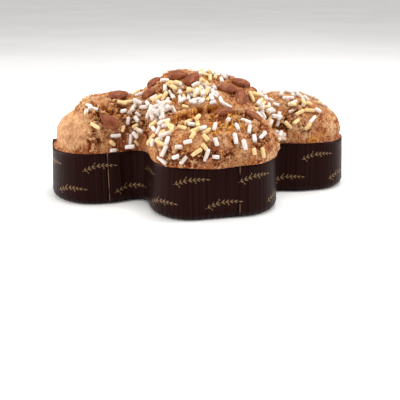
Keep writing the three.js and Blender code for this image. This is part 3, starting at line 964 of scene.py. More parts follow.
@dataclass
class Loaf:
    """The bread: its closed body in the case, and the crust that rises above the rim."""

    crown: Crown
    sectors: int = 880
    rings: int = 140
    gap: float = 0.3
    lip_droop: float = 0.4
    lip_sag: float = 2.4
    lip_sag_middle: float = -4.0
    lip_sag_spread: float = 26.0
    lip_undercut: float = 0.6
    lip_start: float = 9.0
    lip_height: float = 6.0
    lip_waves: tuple[Floats, ...] = ((0.7, 0.044), (0.4, 0.136))
    slack: float = 0.04
    low_ring: float = 28.0
    curve_samples: int = 700
    edge_crowding: float = 2.4
    thinning: tuple[tuple[float, int], ...] = ((0.5, 1), (0.76, 2), (0.9, 4), (1.0, 8))
    loosening: Floats = (0.25, 0.6, 1.0)
    tear_steps: int = 90
    tear_near: float = 90.0
    jag_lengths: Floats = (17.0, 9.0)
    patch_reach: float = 1.35
    seam_out: float = 3.0
    seam_spread: float = 5.0
    seam_share: float = 0.7
    plate_size: float = 13.0
    crumble_size: float = 3.4
    pit_size: float = 3.3
    bend: float = 13.0

    def crown_rings(self, outline: Outline) -> list[Array]:
        """Makes the rings of the crust, evenly spaced over its curve, with fewer points inwards.

        Args:
            outline: The stations of the loaf's edge.

        Returns:
            The rings above the widest line, the last of one point.
        """
        rim = outline.level(self.crown.reach(*outline.points.T), self.crown.widest)[:, :2]
        share = np.linspace(0, 1, self.curve_samples) ** self.edge_crowding
        flat = rim[None] * (1 - share)[:, None, None]
        height = self.crown.height(flat[..., 0], flat[..., 1])
        curve = np.concatenate([flat, height[..., None]], 2)
        steps = np.linalg.norm(np.diff(curve, axis=0), axis=2)
        walked = np.vstack([np.zeros(len(rim)), np.cumsum(steps, 0)])
        places = np.linspace(0, 1, self.rings + 1)[1:-1]
        rings = []
        for place in places:
            thin = next(step for until, step in self.thinning if place < until)
            columns = range(0, len(rim), thin)
            share_at = [np.interp(place * walked[-1, at], walked[:, at], share) for at in columns]
            inwards = (1 - np.array(share_at))[:, None]
            spot = rim[::thin] * inwards
            rings.append(np.column_stack([spot, self.crown.height(*spot.T)]))
        rings.append(np.array([[0, 0, float(self.crown.height(np.zeros(1), np.zeros(1))[0])]]))
        return rings

    def lower_rings(self, outline: Outline) -> list[Array]:
        """Makes the rings from the flat bottom up to the widest line, round the paper's rim.

        Args:
            outline: The stations of the loaf's edge.

        Returns:
            The rings from the bottom's middle point up.
        """
        wall = self.crown.wall
        inside = -(wall.paper + self.gap + self.slack)
        reach = self.crown.reach(*outline.points.T)
        hangs = np.clip((reach + wall.lean) / self.crown.overhang, 0, 1)
        waves = sum(rise * np.sin(rate * outline.walked) for rise, rate in self.lip_waves)
        away = (outline.points[:, 0] - self.lip_sag_middle) / self.lip_sag_spread
        droop = hangs * (self.lip_droop + waves + self.lip_sag * np.exp(-away * away))
        rings = [np.array([[0, 0, wall.paper + self.gap]])]
        rings += [outline.level(*wall.foot_ring(wall.paper + self.gap, turn)) for turn in (0, 45, 90)]
        for height in (self.low_ring, wall.rim - self.lip_start, wall.rim - 3):
            rings.append(outline.level(inside - wall.lean_at(height), height))
        under = inside - wall.lean
        outer = mix(under, reach - self.lip_undercut, hangs)
        over = mix(under, np.minimum(self.gap - wall.lean, outer), hangs)
        edge = mix(outer, reach, 0.7)
        for moved, height in (
            (under, wall.rim + self.gap),
            (over, wall.rim + self.gap),
            (over, wall.rim + self.gap - droop * 0.9),
            (mix(over, outer, 0.75), wall.rim + self.gap * (1 - hangs) - droop),
            (edge, wall.rim + 0.8 + self.gap * (1 - hangs) - droop * 0.6),
            (reach, mix(wall.rim, self.crown.widest, 0.6)),
            (reach, self.crown.widest),
        ):
            rings.append(outline.level(moved, height))
        return rings

    def tear_fields(self, points: Array) -> tuple[Array, Array]:
        """Finds how deep each point sinks into a tear, and where its raised edges are.

        Args:
            points: The loaf's points.

        Returns:
            Depths in millimetres, and the torn edge's rise from 0 to 1.
        """
        depth, edge = np.zeros(len(points)), np.zeros(len(points))
        last = self.tear_steps - 1
        for number, tear in enumerate(TEARS):
            path, swell = tear.path(self.crown, self.tear_steps)
            near = np.where(np.linalg.norm(points - path.mean(0), axis=1) < self.tear_near)[0]
            gaps = np.linalg.norm(points[near, None] - path[None], axis=2)
            best = gaps.argmin(1)
            ahead = path[np.minimum(best + 1, last)] - path[np.maximum(best - 1, 0)]
            outwards = path[best] - np.array(self.crown.heart)
            side = np.sign(np.einsum("ij,ij->i", np.cross(ahead, outwards), points[near] - path[best]))
            along = best / last * np.linalg.norm(np.diff(path, axis=0), axis=1).sum()
            both, one = (
                wobble(along, 3 * number + place, length)
                for place, length in enumerate(self.jag_lengths, 1)
            )
            jag = both + side * one
            half = tear.width / 2 * (0.42 + 0.5 * swell[best]) * (1 + 0.3 * jag)
            ratio = gaps[np.arange(len(near)), best] / np.maximum(half, 0.3)
            sunk = tear.depth * swell[best] ** 0.6 * np.clip(1 - ratio**2.2, 0, 1) ** 0.8
            depth[near] = np.maximum(depth[near], sunk)
            lift = np.exp(-(((ratio - 1.25) / 0.3) ** 2)) * swell[best] ** 0.5
            edge[near] = np.maximum(edge[near], lift)
        for bowl in BOWLS:
            ratio = np.linalg.norm(points - bowl.on(self.crown), axis=1) / bowl.radius
            depth = np.maximum(depth, bowl.depth * np.clip(1 - ratio**2, 0, 1))
            edge = np.maximum(edge, np.exp(-(((ratio - 1.2) / 0.25) ** 2)))
        return depth, edge

    def patch_field(self, points: Array, kind: Crust) -> Array:
        """Gives each point its share in the patches of one kind.

        Args:
            points: The loaf's points.
            kind: The kind of crust.

        Returns:
            Shares from 0 to about 1.
        """
        share = np.zeros(len(points))
        for patch in PATCHES:
            if patch.kind is kind:
                far = np.linalg.norm(points - patch.on(self.crown), axis=1) / patch.radius
                share = np.maximum(share, patch.strength * np.clip(self.patch_reach - far, 0, 1))
        return share

    def seam_field(self, points: Array) -> Array:
        """Gives each point its share in the seams round the dome and in the head's terrace.

        Args:
            points: The loaf's points.

        Returns:
            Shares from 0 to 0.7.
        """
        x, y, _ = points.T
        seam, head = (
            np.exp(-(((outside - self.seam_out) / self.seam_spread) ** 2))
            for outside in (self.crown.seam_reach(x, y), x - self.crown.head_line(y))
        )
        seam = seam * np.clip((np.abs(y) - 25) / 20, 0, 1)
        return self.seam_share * np.maximum(seam, head)

    def relief_tree(self) -> Tree:
        """Builds the tree that gives the crust its lumps, pits, cracked plates and crumbles.

        Returns:
            A tree that also stores where the crust is high, cragged and torn.
        """
        desk, start = geometry_tree("crust_relief", CRUST_RELIEF)
        told = start.outputs
        times = desk.product
        place = desk.spot()
        bent = desk.vector("ADD", place, desk.scaled(desk.shake(place, 0.13, 3.0), self.bend))
        lump = desk.swing(place, *CRUST_NOISE["lump"])
        pebble, string, fold = (
            desk.swing(bent, *CRUST_NOISE[name]) for name in ("pebble", "string", "fold")
        )
        calm = desk.ramp(desk.math("MULTIPLY_ADD", pebble, 0.9, desk.named("calm")), 0.15, 0.75)
        lively = desk.math("SUBTRACT", 1.0, times(calm, 0.85))
        rough = desk.ramp(desk.noise(place, *CRUST_NOISE["rough"]), 0.45, 0.66)
        crag = desk.math("ADD", desk.named("crag"), times(rough, lively, 0.3))
        crag = desk.math("MULTIPLY_ADD", pebble, 1.5, crag)
        crag = times(desk.ramp(crag, 0.2, 0.5), lively)
        amber = desk.ramp(desk.math("MULTIPLY_ADD", pebble, 2.0, desk.named("amber")), 0.35, 0.6)
        pebbles = times(pebble, 2.0, lively, told["Pebble rise"])
        height = desk.math("ADD", times(lump, 2.0, told["Lump rise"]), pebbles)
        edge = desk.cells(bent, self.plate_size, "DISTANCE_TO_EDGE")
        gap = desk.ramp(edge, 0.085, 0.01)
        curl = times(desk.ramp(edge, 0.30, 0.10), desk.math("SUBTRACT", 1.0, gap))
        broken = desk.ramp(desk.noise(place, *CRUST_NOISE["broken"]), 0.46, 0.6)
        broken = desk.math("MAXIMUM", times(crag, 0.9), times(broken, lively, 0.65))
        plates = desk.math("SUBTRACT", times(curl, 0.5), gap)
        height = desk.math("ADD", height, times(plates, broken, told["Plate depth"]))
        cliffs = desk.math("SUBTRACT", desk.ramp(desk.math("ABSOLUTE", fold), 0.0, 0.10), 0.62)
        height = desk.math("ADD", height, times(cliffs, crag, told["Crag rise"]))
        lumps = desk.math("SUBTRACT", 0.46, desk.cells(bent, self.crumble_size))
        height = desk.math("ADD", height, times(lumps, crag, told["Crumble rise"]))
        elsewhere = desk.vector("ADD", bent, (31.0, 7.0, 3.0))
        pits = desk.ramp(desk.cells(elsewhere, self.pit_size), 0.36, 0.12)
        sparse = desk.ramp(desk.noise(place, *CRUST_NOISE["sparse"]), 0.48, 0.6)
        sparse = desk.math("MAXIMUM", times(sparse, lively), times(crag, 0.6))
        height = desk.math("SUBTRACT", height, times(pits, sparse, told["Pit depth"]))
        torn = desk.math("MAXIMUM", desk.ramp(desk.named("tear_depth"), 0.4, 2.6), amber)
        height = desk.math("ADD", height, times(string, 2.0, torn, told["Crumb rise"]))
        height = desk.math("SUBTRACT", height, times(amber, 0.7))
        lifted = desk.math("ADD", height, times(desk.named("tear_edge"), told["Torn edge"]))
        moved = times(desk.math("SUBTRACT", lifted, desk.named("tear_depth")), desk.named("free"))
        geometry = desk.stored(told["Geometry"], high=height, cragged=crag, calmed=calm, torn=torn)
        return close_tree(desk, start, desk.moved(geometry, desk.outward(moved)))

    def build(self, finish: Material) -> Piece:
        """Builds the loaf.

        Args:
            finish: The crust's material.

        Returns:
            The finished piece.
        """
        outline = self.crown.plan.outline(self.sectors)
        lower = self.lower_rings(outline)
        points, faces = stacked(lower + self.crown_rings(outline))
        covered = sum(len(ring) for ring in lower[: -len(self.loosening)])
        piece = new_piece("loaf", points, faces)
        free = np.ones(len(points))
        free[:covered] = 0
        edges = np.repeat(self.loosening, self.sectors)
        free[covered : covered + len(edges)] = edges
        shares = {"free": free}
        shares["tear_depth"], shares["tear_edge"] = self.tear_fields(points)
        shares.update({kind.value: self.patch_field(points, kind) for kind in Crust})
        shares["crag"] = np.maximum(shares["crag"], self.seam_field(points))
        # How far the finish darkens the crust towards the paper rim: partly baked browning, partly
        # painted shade under the lip.
        shares["lip_browning_and_shade"] = np.clip(1 - (points[:, 2] - self.crown.wall.rim) / self.lip_height, 0, 1)
        for name, share in shares.items():
            put_attribute(piece, name, share)
        return run_tree(piece, self.relief_tree(), {**CRUST_RELIEF, "Finish": finish})


@dataclass(frozen=True)
class AlmondSpot(Spot):
    """Where an almond lies: its heading and its tip's rise in degrees, and its size."""

    heading: float
    tip: float = 0.0
    size: float = 1.0


@dataclass(frozen=True)
class Swarm(Spot):
    """A swarm of sugar sticks: how far it scatters, how many there are, and the share of white."""

    scatter: float
    count: int
    white: float = 0.68


# Each almond's bearing, climb and heading, and where they aren't the usual ones its tip and size.
ALMOND_SPOTS = tuple(
    AlmondSpot(*row)
    for row in (
        (180, 54, 40), (-159, 68.6, 52), (-129, 72, 80, 14), (-23.5, 58.9, 100), (-51, 62.5, 135),
        (-162, 45, 30), (-174, 33, 76), (-159, 19.5, 160), (-49, 48.4, 228, -14),
        (-87.6, 33.7, 188), (-66.7, 28.8, 108, 0, 0.9), (62, 22, 40, 0, 0.94), (58, 57, 30),
        (112, 49, -20), (84, 33, 75), (151, 36, 25), (24, 37, -10),
    )
)
# Each swarm's bearing, climb, scatter, count and share of white, where it isn't the usual one.
SWARMS = tuple(
    Swarm(*row)
    for row in (
        (-133, 32, 11, 22, 1), (-164, 31, 13, 10, 0.9), (-149, 36, 11, 7, 0.95),
        (-174, 38, 17, 10, 0.7), (-144, 51, 16, 15, 0.6), (-125, 61, 16, 18, 0.6),
        (-98, 60, 15, 18, 0.65), (-150, 79, 20, 18, 0.55), (-38, 79, 16, 12, 0.4),
        (-89, 40, 10, 7, 1), (-112, 46, 14, 9, 0.7), (-31, 44, 17, 17, 0.65), (-36, 29, 14, 12, 0.9),
        (-12.5, 28, 20, 14, 0.8), (-22, 18.5, 17, 9, 0.4), (-30, 16, 12, 5, 0.9),
        (-1, 16.5, 13, 7, 0.6), (-31, 9, 9, 5, 1), (-124, 19, 14, 15, 0.5), (-107, 24, 12, 6, 0),
        (-103.5, 17, 17, 9, 0.2), (-79, 20, 19, 9, 0.8), (-116, 9, 15, 8, 0.7), (-75, 8.5, 8, 3, 0),
        (-98, 8.5, 6, 2, 1), (-156, 21, 11, 6, 0.6), (-156, 12, 12, 8, 0.6), (-160, 15, 5, 2, 0),
        (-168, 22, 7, 3, 1), (90, 72, 24, 20), (82, 50, 28, 22), (94, 22, 36, 26), (22, 28, 28, 18),
        (150, 28, 26, 13),
    )
)


@dataclass
class Almonds:
    """The almonds that lie half sunk in the crust."""

    crown: Crown
    length: float = 20.5
    width: float = 12.2
    thickness: float = 7.4
    taper: float = 0.24
    lift: float = 1.1
    stations: int = 34
    sides: int = 44
    pinch: float = 0.16
    pinch_start: float = 0.3
    dent: float = 0.03
    bend: float = 0.5
    wrinkle: float = 0.32
    shift: float = 40.0

    @cached_property
    def matrices(self) -> list[Array]:
        """Finds each almond's place on the crust.

        Returns:
            A 4 by 4 matrix in millimetres for each.
        """
        places = self.crown.toward(*np.array([(spot.bearing, spot.climb) for spot in ALMOND_SPOTS]).T)
        frames = self.crown.frames(places, [spot.heading for spot in ALMOND_SPOTS])
        found = []
        for spot, place, axes in zip(ALMOND_SPOTS, places, frames):
            matrix = np.eye(4)
            turned = Matrix.Rotation(math.radians(-spot.tip), 3, "Y")
            matrix[:3, :3] = axes @ np.array(turned)
            matrix[:3, 3] = place + axes[:, 2] * self.lift
            found.append(matrix)
        return found

    def touched(self, points: Array, margin: float) -> bool:
        """Tells whether any point lies in or close to an almond.

        Args:
            points: Points in millimetres.
            margin: How close counts.

        Returns:
            True where one does.
        """
        for spot, matrix in zip(ALMOND_SPOTS, self.matrices):
            local = (points - matrix[:3, 3]) @ matrix[:3, :3]
            half = self.half(spot) + margin
            if (np.linalg.norm(local / half, axis=1) < 1).any():
                return True
        return False

    def half(self, spot: AlmondSpot) -> Array:
        """Returns half an almond's length, width and thickness."""
        return np.array((self.length, self.width, self.thickness)) * spot.size / 2

    def form(self, number: int) -> tuple[Array, Faces]:
        """Makes one almond around its own middle.

        Args:
            number: Which almond, for its own small unevenness.

        Returns:
            Its points in millimetres and its faces.
        """
        station = -np.cos(np.linspace(0, math.pi, self.stations))
        beak = 1 - self.pinch * np.clip((station - self.pinch_start) / 0.7, 0, 1) ** 2
        swell = np.sqrt(np.maximum(1 - station**2, 0)) * (1 - self.taper * station) * beak
        turn = np.linspace(0, FULL_TURN, self.sides, endpoint=False)
        dents = 1 + self.dent * np.sin(2 * turn + FULL_TURN * float(draw(number, 21)))
        bend = self.bend * (float(draw(number, 22)) - 0.5)
        half = self.half(ALMOND_SPOTS[number])
        rings = []
        for place, wide in zip(station, swell):
            x = np.full(self.sides, place * half[0])
            y = wide * np.cos(turn) * half[1] * dents + bend * (1 - place * place)
            z = wide * np.sin(turn) * half[2]
            rings.append(np.stack([x, y, z], 1))
        rings[0], rings[-1] = rings[0][:1], rings[-1][:1]
        return stacked(rings)

    def skin_tree(self) -> Tree:
        """Builds the tree that draws long wrinkles into the skin, along each almond.

        Returns:
            A tree that also stores the wrinkles.
        """
        desk, start = geometry_tree("almond_skin", ("Wrinkle depth", "Shift"))
        told = start.outputs
        moved = desk.vector("ADD", desk.named("grain", "FLOAT_VECTOR"), told["Shift"])
        wrinkle = desk.swing(desk.vector("MULTIPLY", moved, (0.16, 1.0, 1.0)), 1.5, 3.0, 0.6)
        dimple = desk.swing(moved, 5.0, 1.0, 0.5)
        height = desk.math("MULTIPLY_ADD", dimple, 1.4, desk.math("MULTIPLY", wrinkle, 1.6))
        offset = desk.outward(desk.math("MULTIPLY", height, told["Wrinkle depth"]))
        geometry = desk.stored(told["Geometry"], wrinkle=wrinkle)
        return close_tree(desk, start, desk.moved(geometry, offset))

    def build(self, finish: Material) -> list[Piece]:
        """Builds every almond at its place.

        Args:
            finish: The skin's material.

        Returns:
            One piece for each almond, in the order of their spots.
        """
        tree = self.skin_tree()
        pieces = []
        for number, matrix in enumerate(self.matrices):
            local, faces = self.form(number)
            placed = local @ matrix[:3, :3].T + matrix[:3, 3]
            piece = new_piece(f"dressed_almond_{number + 1:02d}", placed, faces)
            put_attribute(piece, "grain", local)
            values = {"Wrinkle depth": self.wrinkle, "Shift": self.shift * number, "Finish": finish}
            pieces.append(run_tree(piece, tree, values))
        return pieces


# The sticks' uneven form: how far in millimetres, and lumps for each millimetre.
STICK_GRAIN = {"Unevenness": 0.55, "Grain": 0.42}


class Stick(NamedTuple):
    """A sugar stick: its middle, its direction, the way out of the crust, and what it is like."""

    middle: Array
    along: Array
    out: Array
    length: float
    white: bool
    number: int

    def dots(self) -> Array:
        """Returns 9 points along the stick."""
        return self.middle + np.outer(np.linspace(-0.5, 0.5, 9) * self.length, self.along)

    def axes(self) -> Array:
        """Returns the stick's own axes, as the columns of a matrix."""
        across = unit(np.cross(self.out, self.along))
        return np.stack([self.along, across, np.cross(self.along, across)], 1)


@dataclass
class SugarSticks:
    """The sticks of pressed sugar that are scattered over the crust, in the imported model's box."""

    crown: Crown
    almonds: Almonds
    limits: tuple[Array, ...]
    diameter: float = 4.3
    shortest: float = 6.2
    longest: float = 11.8
    shortness: float = 1.5
    thinnest: float = 0.8
    thickest: float = 0.95
    sink: float = 0.22
    film_sink: float = 0.2
    over_rim: float = 2.0
    almond_gap: float = 0.6
    golden_turn: float = 137.508
    shaken_turn: float = 24.0
    template: float = 10.0
    sides: int = 9
    feelers: int = 5
    feeler_height: float = 14.0
    feeler_reach: float = 30.0
    steepest: float = 0.45
    hardest_tip: float = 0.4
    highest: float = 3.0
    crossing: float = 0.9
    box_margin: float = 0.25
    flattest: float = 0.2
    glazed_from: float = 0.74
    glazed_to: float = 0.95

    def scattered(self) -> list[Stick]:
        """Places the sticks of every swarm, as sunflower seeds lie, a little shaken.

        Returns:
            The sticks that are clear of the almonds and of the paper's rim.
        """
        found = []
        for number, swarm in enumerate(SWARMS):
            middle = swarm.on(self.crown)
            axes = self.crown.frames(middle[None], 0)[0]
            place = np.arange(swarm.count)
            index = number * 50 + place
            shake = mix(0.85, 1.15, draw(index, 1))
            reach = swarm.scatter * np.sqrt((place + 0.6) / swarm.count) * shake
            turn = np.radians(self.golden_turn * place + self.shaken_turn * draw(index, 2))
            target = middle + np.outer(reach * np.cos(turn), axes[:, 0])
            target = target + np.outer(reach * np.sin(turn), axes[:, 1])
            spots = self.crown.spots(target - np.array(self.crown.heart))
            frames = self.crown.frames(spots, 360 * draw(index, 3))
            length = mix(self.shortest, self.longest, draw(index, 4) ** self.shortness)
            white = draw(index, 5) < swarm.white
            found += map(Stick, spots, frames[:, :, 0], frames[:, :, 2], length, white, index)
        return [stick for stick in found if self.fits(stick)]

    def fits(self, stick: Stick) -> bool:
        """Tells whether a stick is clear of the almonds and of the paper's rim.

        Args:
            stick: The stick, with its middle on the crust.

        Returns:
            True where it is.
        """
        middle = stick.middle + stick.out * self.diameter * (0.5 - self.sink)
        points = stick._replace(middle=middle).dots()
        if min(points[0, 2], points[-1, 2]) < self.crown.wall.rim + self.over_rim:
            return False
        return not self.almonds.touched(points, self.diameter / 2 + self.almond_gap)

    def settled(self, ground: Piece, sticks: list[Stick]) -> list[Stick]:
        """Lays each stick on the finished crust, and over the sticks that lay there first.

        Args:
            ground: The finished loaf.
            sticks: The sticks as scattered.

        Returns:
            The sticks in their places.
        """
        laid: list[Stick] = []
        shift = np.array((CENTRED, 0.0, 0.0))
        for stick in sticks:
            along, out = stick.along, stick.out
            places = np.linspace(-0.42, 0.42, self.feelers) * stick.length
            rises = []
            for place in places:
                start = (stick.middle + along * place + out * self.feeler_height + shift) * MM
                feeler = (Vector(start), Vector(-out))
                hit, where, _, _ = ground.ray_cast(*feeler, distance=self.feeler_reach * MM)
                rises.append(self.feeler_height - (feeler[0] - where).length / MM if hit else 0.0)
            rises = np.clip(rises, -self.highest, self.highest)
            slope = float(np.clip(np.polyfit(places, rises, 1)[0], -self.steepest, self.steepest))
            level = rises - slope * places
            rest = float(np.mean(level)) * 0.4 + float(np.max(level)) * 0.6
            sunk = self.sink + self.film_sink * self.coat(stick.number)
            middle = stick.middle + out * (rest + self.diameter * (0.5 - sunk))
            stick = stick._replace(middle=middle, along=unit(along + out * slope))
            laid.append(self.kept_in(self.piled(stick, laid)))
        return laid

    def kept_in(self, stick: Stick) -> Stick:
        """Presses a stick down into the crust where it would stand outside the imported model's box.

        Args:
            stick: The stick.

        Returns:
            The stick in its new place.
        """
        radius = self.diameter / 2 + self.box_margin
        half = np.abs(stick.along) * stick.length / 2 + np.sqrt(1 - stick.along**2) * radius
        low, high = self.limits
        over = np.maximum(stick.middle + half - high, 0) - np.maximum(low - stick.middle + half, 0)
        axis = int(np.argmax(np.abs(over)))
        if over[axis] == 0 or abs(stick.out[axis]) < self.flattest:
            return stick
        return stick._replace(middle=stick.middle - stick.out * over[axis] / stick.out[axis])

    def piled(self, stick: Stick, laid: list[Stick]) -> Stick:
        """Tips a stick up where it crosses one that lies there.

        Args:
            stick: The stick.
            laid: The sticks that lie there.

        Returns:
            The stick in its new place.
        """
        for other in laid:
            near = (stick.length + other.length) / 2 + self.diameter
            if np.linalg.norm(other.middle - stick.middle) > near:
                continue
            gaps = np.linalg.norm(stick.dots()[:, None] - other.dots()[None], axis=2)
            need = self.crossing * self.diameter - gaps.min()
            if need <= 0:
                continue
            place = (int(gaps.min(1).argmin()) / 8 - 0.5) * stick.length
            lever = abs(place) + stick.length / 2
            middle = stick.middle + stick.out * need * (stick.length / 2) / lever
            tip = min(need / lever, self.hardest_tip) * (1 if place >= 0 else -1)
            stick = stick._replace(middle=middle, along=unit(stick.along + stick.out * tip))
        return stick

    def coat(self, number: int) -> float:
        """Returns how much of a stick is under a film of glaze, mostly none."""
        return float(smooth_step(draw(number, 7), self.glazed_from, self.glazed_to))

    def form(self) -> Piece:
        """Makes one plain stick along X.

        Returns:
            The template for the tree.
        """
        station = np.array((-1, -0.985, -0.93, -0.6, 0, 0.6, 0.93, 0.985, 1.0))
        swell = np.array((0, 0.62, 0.93, 1.0, 1.02, 1.0, 0.93, 0.62, 0))
        turn = np.linspace(0, FULL_TURN, self.sides, endpoint=False)
        rings = [
            np.stack([np.full(self.sides, place), wide * np.cos(turn), wide * np.sin(turn)], 1)
            for place, wide in zip(station, swell)
        ]
        rings[0], rings[-1] = rings[0][:1], rings[-1][:1]
        points, faces = stacked(rings)
        points = points * (self.template / 2, self.diameter / 2, self.diameter / 2)
        return new_piece("stick_template", points - (CENTRED, 0, 0), faces)

    def tree(self) -> Tree:
        """Builds the tree that puts a stick on every point and makes each one uneven.

        Returns:
            The tree.
        """
        desk, start = geometry_tree("scattered_sticks", STICK_GRAIN, Template=Kind.OBJECT)
        told = start.outputs
        template = desk.node("GeometryNodeObjectInfo", {"Object": told["Template"]})
        turn, size = (desk.named(name, "FLOAT_VECTOR") for name in ("turn", "size"))
        real = desk.copies(told["Geometry"], template.outputs["Geometry"], turn, size)
        shift = desk.shake(desk.spot(), told["Grain"], 2.0, 0.7)
        offset = desk.scaled(shift, desk.math("MULTIPLY", told["Unevenness"], MM))
        return close_tree(desk, start, desk.moved(real, offset))

    def build(self, ground: Piece, white: Material, yellow: Material) -> list[Piece]:
        """Builds the sticks on the finished crust.

        Args:
            ground: The finished loaf.
            white: The white sugar's material.
            yellow: The yellow sugar's material.

        Returns:
            The piece of white sticks and the piece of yellow ones.
        """
        laid = self.settled(ground, self.scattered())
        template, tree = self.form(), self.tree()
        pieces = []
        for name, finish in (("white", white), ("yellow", yellow)):
            chosen = [stick for stick in laid if bool(stick.white) == (name == "white")]
            piece = new_piece(f"sugar_sticks_{name}", np.array([stick.middle for stick in chosen]), [])
            turns = [Matrix(stick.axes().tolist()).to_euler() for stick in chosen]
            thick = [mix(self.thinnest, self.thickest, float(draw(stick.number, 6))) for stick in chosen]
            size = [(stick.length / self.template, wide, wide) for stick, wide in zip(chosen, thick)]
            put_attribute(piece, "turn", np.array(turns))
            put_attribute(piece, "size", np.array(size))
            put_attribute(piece, "coat", np.array([self.coat(stick.number) for stick in chosen]))
            values = {**STICK_GRAIN, "Template": template, "Finish": finish}
            pieces.append(run_tree(piece, tree, values))
            LOG.info("%d %s sugar sticks", len(chosen), name)
        bpy.data.objects.remove(template)
        return pieces


# The paper's relief in millimetres, and how many flutes one pleat takes.
PAPER_RELIEF = {"Flute depth": 0.17, "Pleat depth": 0.55, "Flutes per pleat": 2.5}


@dataclass
class PaperCase:
    """The fluted paper case, with its glued overlaps and its pleated foot."""

    plan: Plan
    wall: Wall
    flutes: int = 398
    columns_per_flute: int = 4
    skin: float = 0.34
    overlaps: Floats = (528.0, 684.0, 236.0, 66.0)
    overlap_width: float = 13.0
    overlap_end: float = 16.0
    overlap_height: float = 0.42
    overlap_ramp: float = 0.5
    cut_edge_and_highlight_line: Floats = (0.35, 0.5)
    edge_shade: Floats = (-1.0, 0.8)
    tip_at: float = 436.0
    tip_rise: float = 3.4
    tip_half: float = 17.0
    slack: float = 0.3
    floor_rings: Floats = (34.0, 22.0, 14.0)
    foot_turns: Floats = (0.0, 18.0, 36.0, 54.0, 72.0, 90.0)
    lowest_flute: float = 11.0
    wall_rings: int = 12

    @cached_property
    def girth(self) -> float:
        """Returns the way round the case."""
        return self.plan.outline(720).length

    def overlap_rise(self, walked: Array) -> Array:
        """Gives how far the wall stands out where its strips overlap.

        Args:
            walked: Distances round the outline.

        Returns:
            Distances, 0 between the overlaps.
        """
        into = (walked - np.array(self.overlaps)[:, None]) % self.girth
        fade = 1 - smooth_step(into, self.overlap_width, self.overlap_end)
        return self.overlap_height * (smooth_step(into, 0.0, self.overlap_ramp) * fade).max(0)

    def seam_line(self, walked: Array) -> Array:
        """Finds each strip's cut edge, for the paper's finish: a paler edge with a painted highlight,
        and painted shade beside it.

        Args:
            walked: Distances round the outline.

        Returns:
            1 along the edge, -1 in the shade beside it and 0 elsewhere.
        """
        half = self.girth / 2
        into = (walked - np.array(self.overlaps)[:, None] + half) % self.girth - half
        lines = (self.cut_edge_and_highlight_line, self.edge_shade)
        edge, shade = (np.exp(-(((into - middle) / width) ** 2)) for middle, width in lines)
        return (edge - shade).sum(0)

    def face(self, walked: Array, height: Values) -> Array:
        """Gives how far the wall's outer face stands outside the plan.

        Args:
            walked: Distances round the outline.
            height: Heights on the wall.

        Returns:
            The distances, mostly below 0, because the wall leans inwards.
        """
        turn = FULL_TURN * walked / self.girth
        waves = 0.5 * np.sin(5 * turn + 1.0) + 0.3 * np.sin(8 * turn + 2.0) + 0.2 * np.sin(13 * turn)
        share = np.clip((height - self.wall.foot) / (self.wall.rim - self.wall.foot), 0, 1)
        bulge = -self.slack * np.abs(waves) * np.sin(math.pi * share)
        return self.overlap_rise(walked) - self.skin + bulge - self.wall.lean_at(height)

    def rim_rise(self, walked: Array) -> Array:
        """Returns how far the rim stands above its usual height, at the loose corner and elsewhere."""
        tip = np.clip(1 - np.abs(walked - self.tip_at) / self.tip_half, 0, 1) ** 1.5
        return self.tip_rise * tip

    def build(self, finish: Material) -> Piece:
        """Builds the case.

        Args:
            finish: The paper's material.

        Returns:
            The finished piece.
        """
        outline = self.plan.outline(self.flutes * self.columns_per_flute)
        walked, wall = outline.walked, self.wall
        outer = self.overlap_rise(walked) - self.skin
        rise = self.rim_rise(walked)
        rings, flute, pleat = [], [], []

        def add(ring: Array, fluted: float = 0.0, pleated: float = 0.0) -> None:
            """Adds a ring.

            Args:
                ring: Its points.
                fluted: Its share of flutes.
                pleated: Its share of pleats.
            """
            rings.append(ring)
            flute.append(np.full(len(ring), fluted))
            pleat.append(np.full(len(ring), pleated))

        add(np.zeros((1, 3)))
        for inwards in self.floor_rings:
            add(outline.level(-inwards, 0.0))
        for turn in self.foot_turns:
            moved, height = wall.foot_ring(0.0, turn)
            pleated = math.sin(math.radians(2 * turn))
            add(outline.level(moved + outer * turn / 90, height), turn / 90, pleated)
        for height in np.linspace(self.lowest_flute, wall.rim, self.wall_rings):
            share = (height - wall.foot) / (wall.rim - wall.foot)
            level = height + rise * smooth_step(np.array(share), 0.6, 1.0)
            add(outline.level(self.face(walked, height), level), 1.0, max(0.0, 0.4 - share))
        add(outline.level(-wall.paper - wall.lean, wall.rim + rise), 0.5)
        for height in (wall.rim - 3, 40.0, 25.0):
            add(outline.level(-wall.paper - wall.lean_at(height), height), 0.3)
        for turn in (90, 45, 0):
            add(outline.level(*wall.foot_ring(wall.paper, turn)))
        add(np.array([[0.0, 0.0, wall.paper]]))
        piece = new_piece("fluted_case", *stacked(rings))
        around = np.arange(len(walked)) / self.columns_per_flute
        for name, values in (("around", around), ("seam", self.seam_line(walked))):
            parts = [values if len(ring) > 1 else np.zeros(1) for ring in rings]
            put_attribute(piece, name, np.concatenate(parts))
        put_attribute(piece, "flute", np.concatenate(flute))
        put_attribute(piece, "pleat", np.concatenate(pleat))
        return run_tree(piece, self.flute_tree(), {**PAPER_RELIEF, "Finish": finish})

    def flute_tree(self) -> Tree:
        """Builds the tree that presses flutes into the wall and pleats into the foot.

        Returns:
            The tree.
        """
        desk, start = geometry_tree("paper_flutes", PAPER_RELIEF)
        told = start.outputs
        around = desk.math("MULTIPLY", desk.named("around"), FULL_TURN)
        wave = desk.math("MULTIPLY_ADD", desk.math("COSINE", around), 0.5, -0.5)
        flutes = desk.product(wave, told["Flute depth"], desk.named("flute"))
        turn = desk.math("DIVIDE", around, told["Flutes per pleat"])
        uneven = desk.swing(desk.spot(), 11.0, 2.0, 0.5)
        folds = desk.math("SINE", desk.math("MULTIPLY_ADD", uneven, 9.0, turn))
        folds = desk.math("MULTIPLY_ADD", folds, 0.5, -0.5)
        pleats = desk.product(folds, told["Pleat depth"], desk.named("pleat"))
        offset = desk.outward(desk.math("ADD", flutes, pleats))
        return close_tree(desk, start, desk.moved(told["Geometry"], offset))


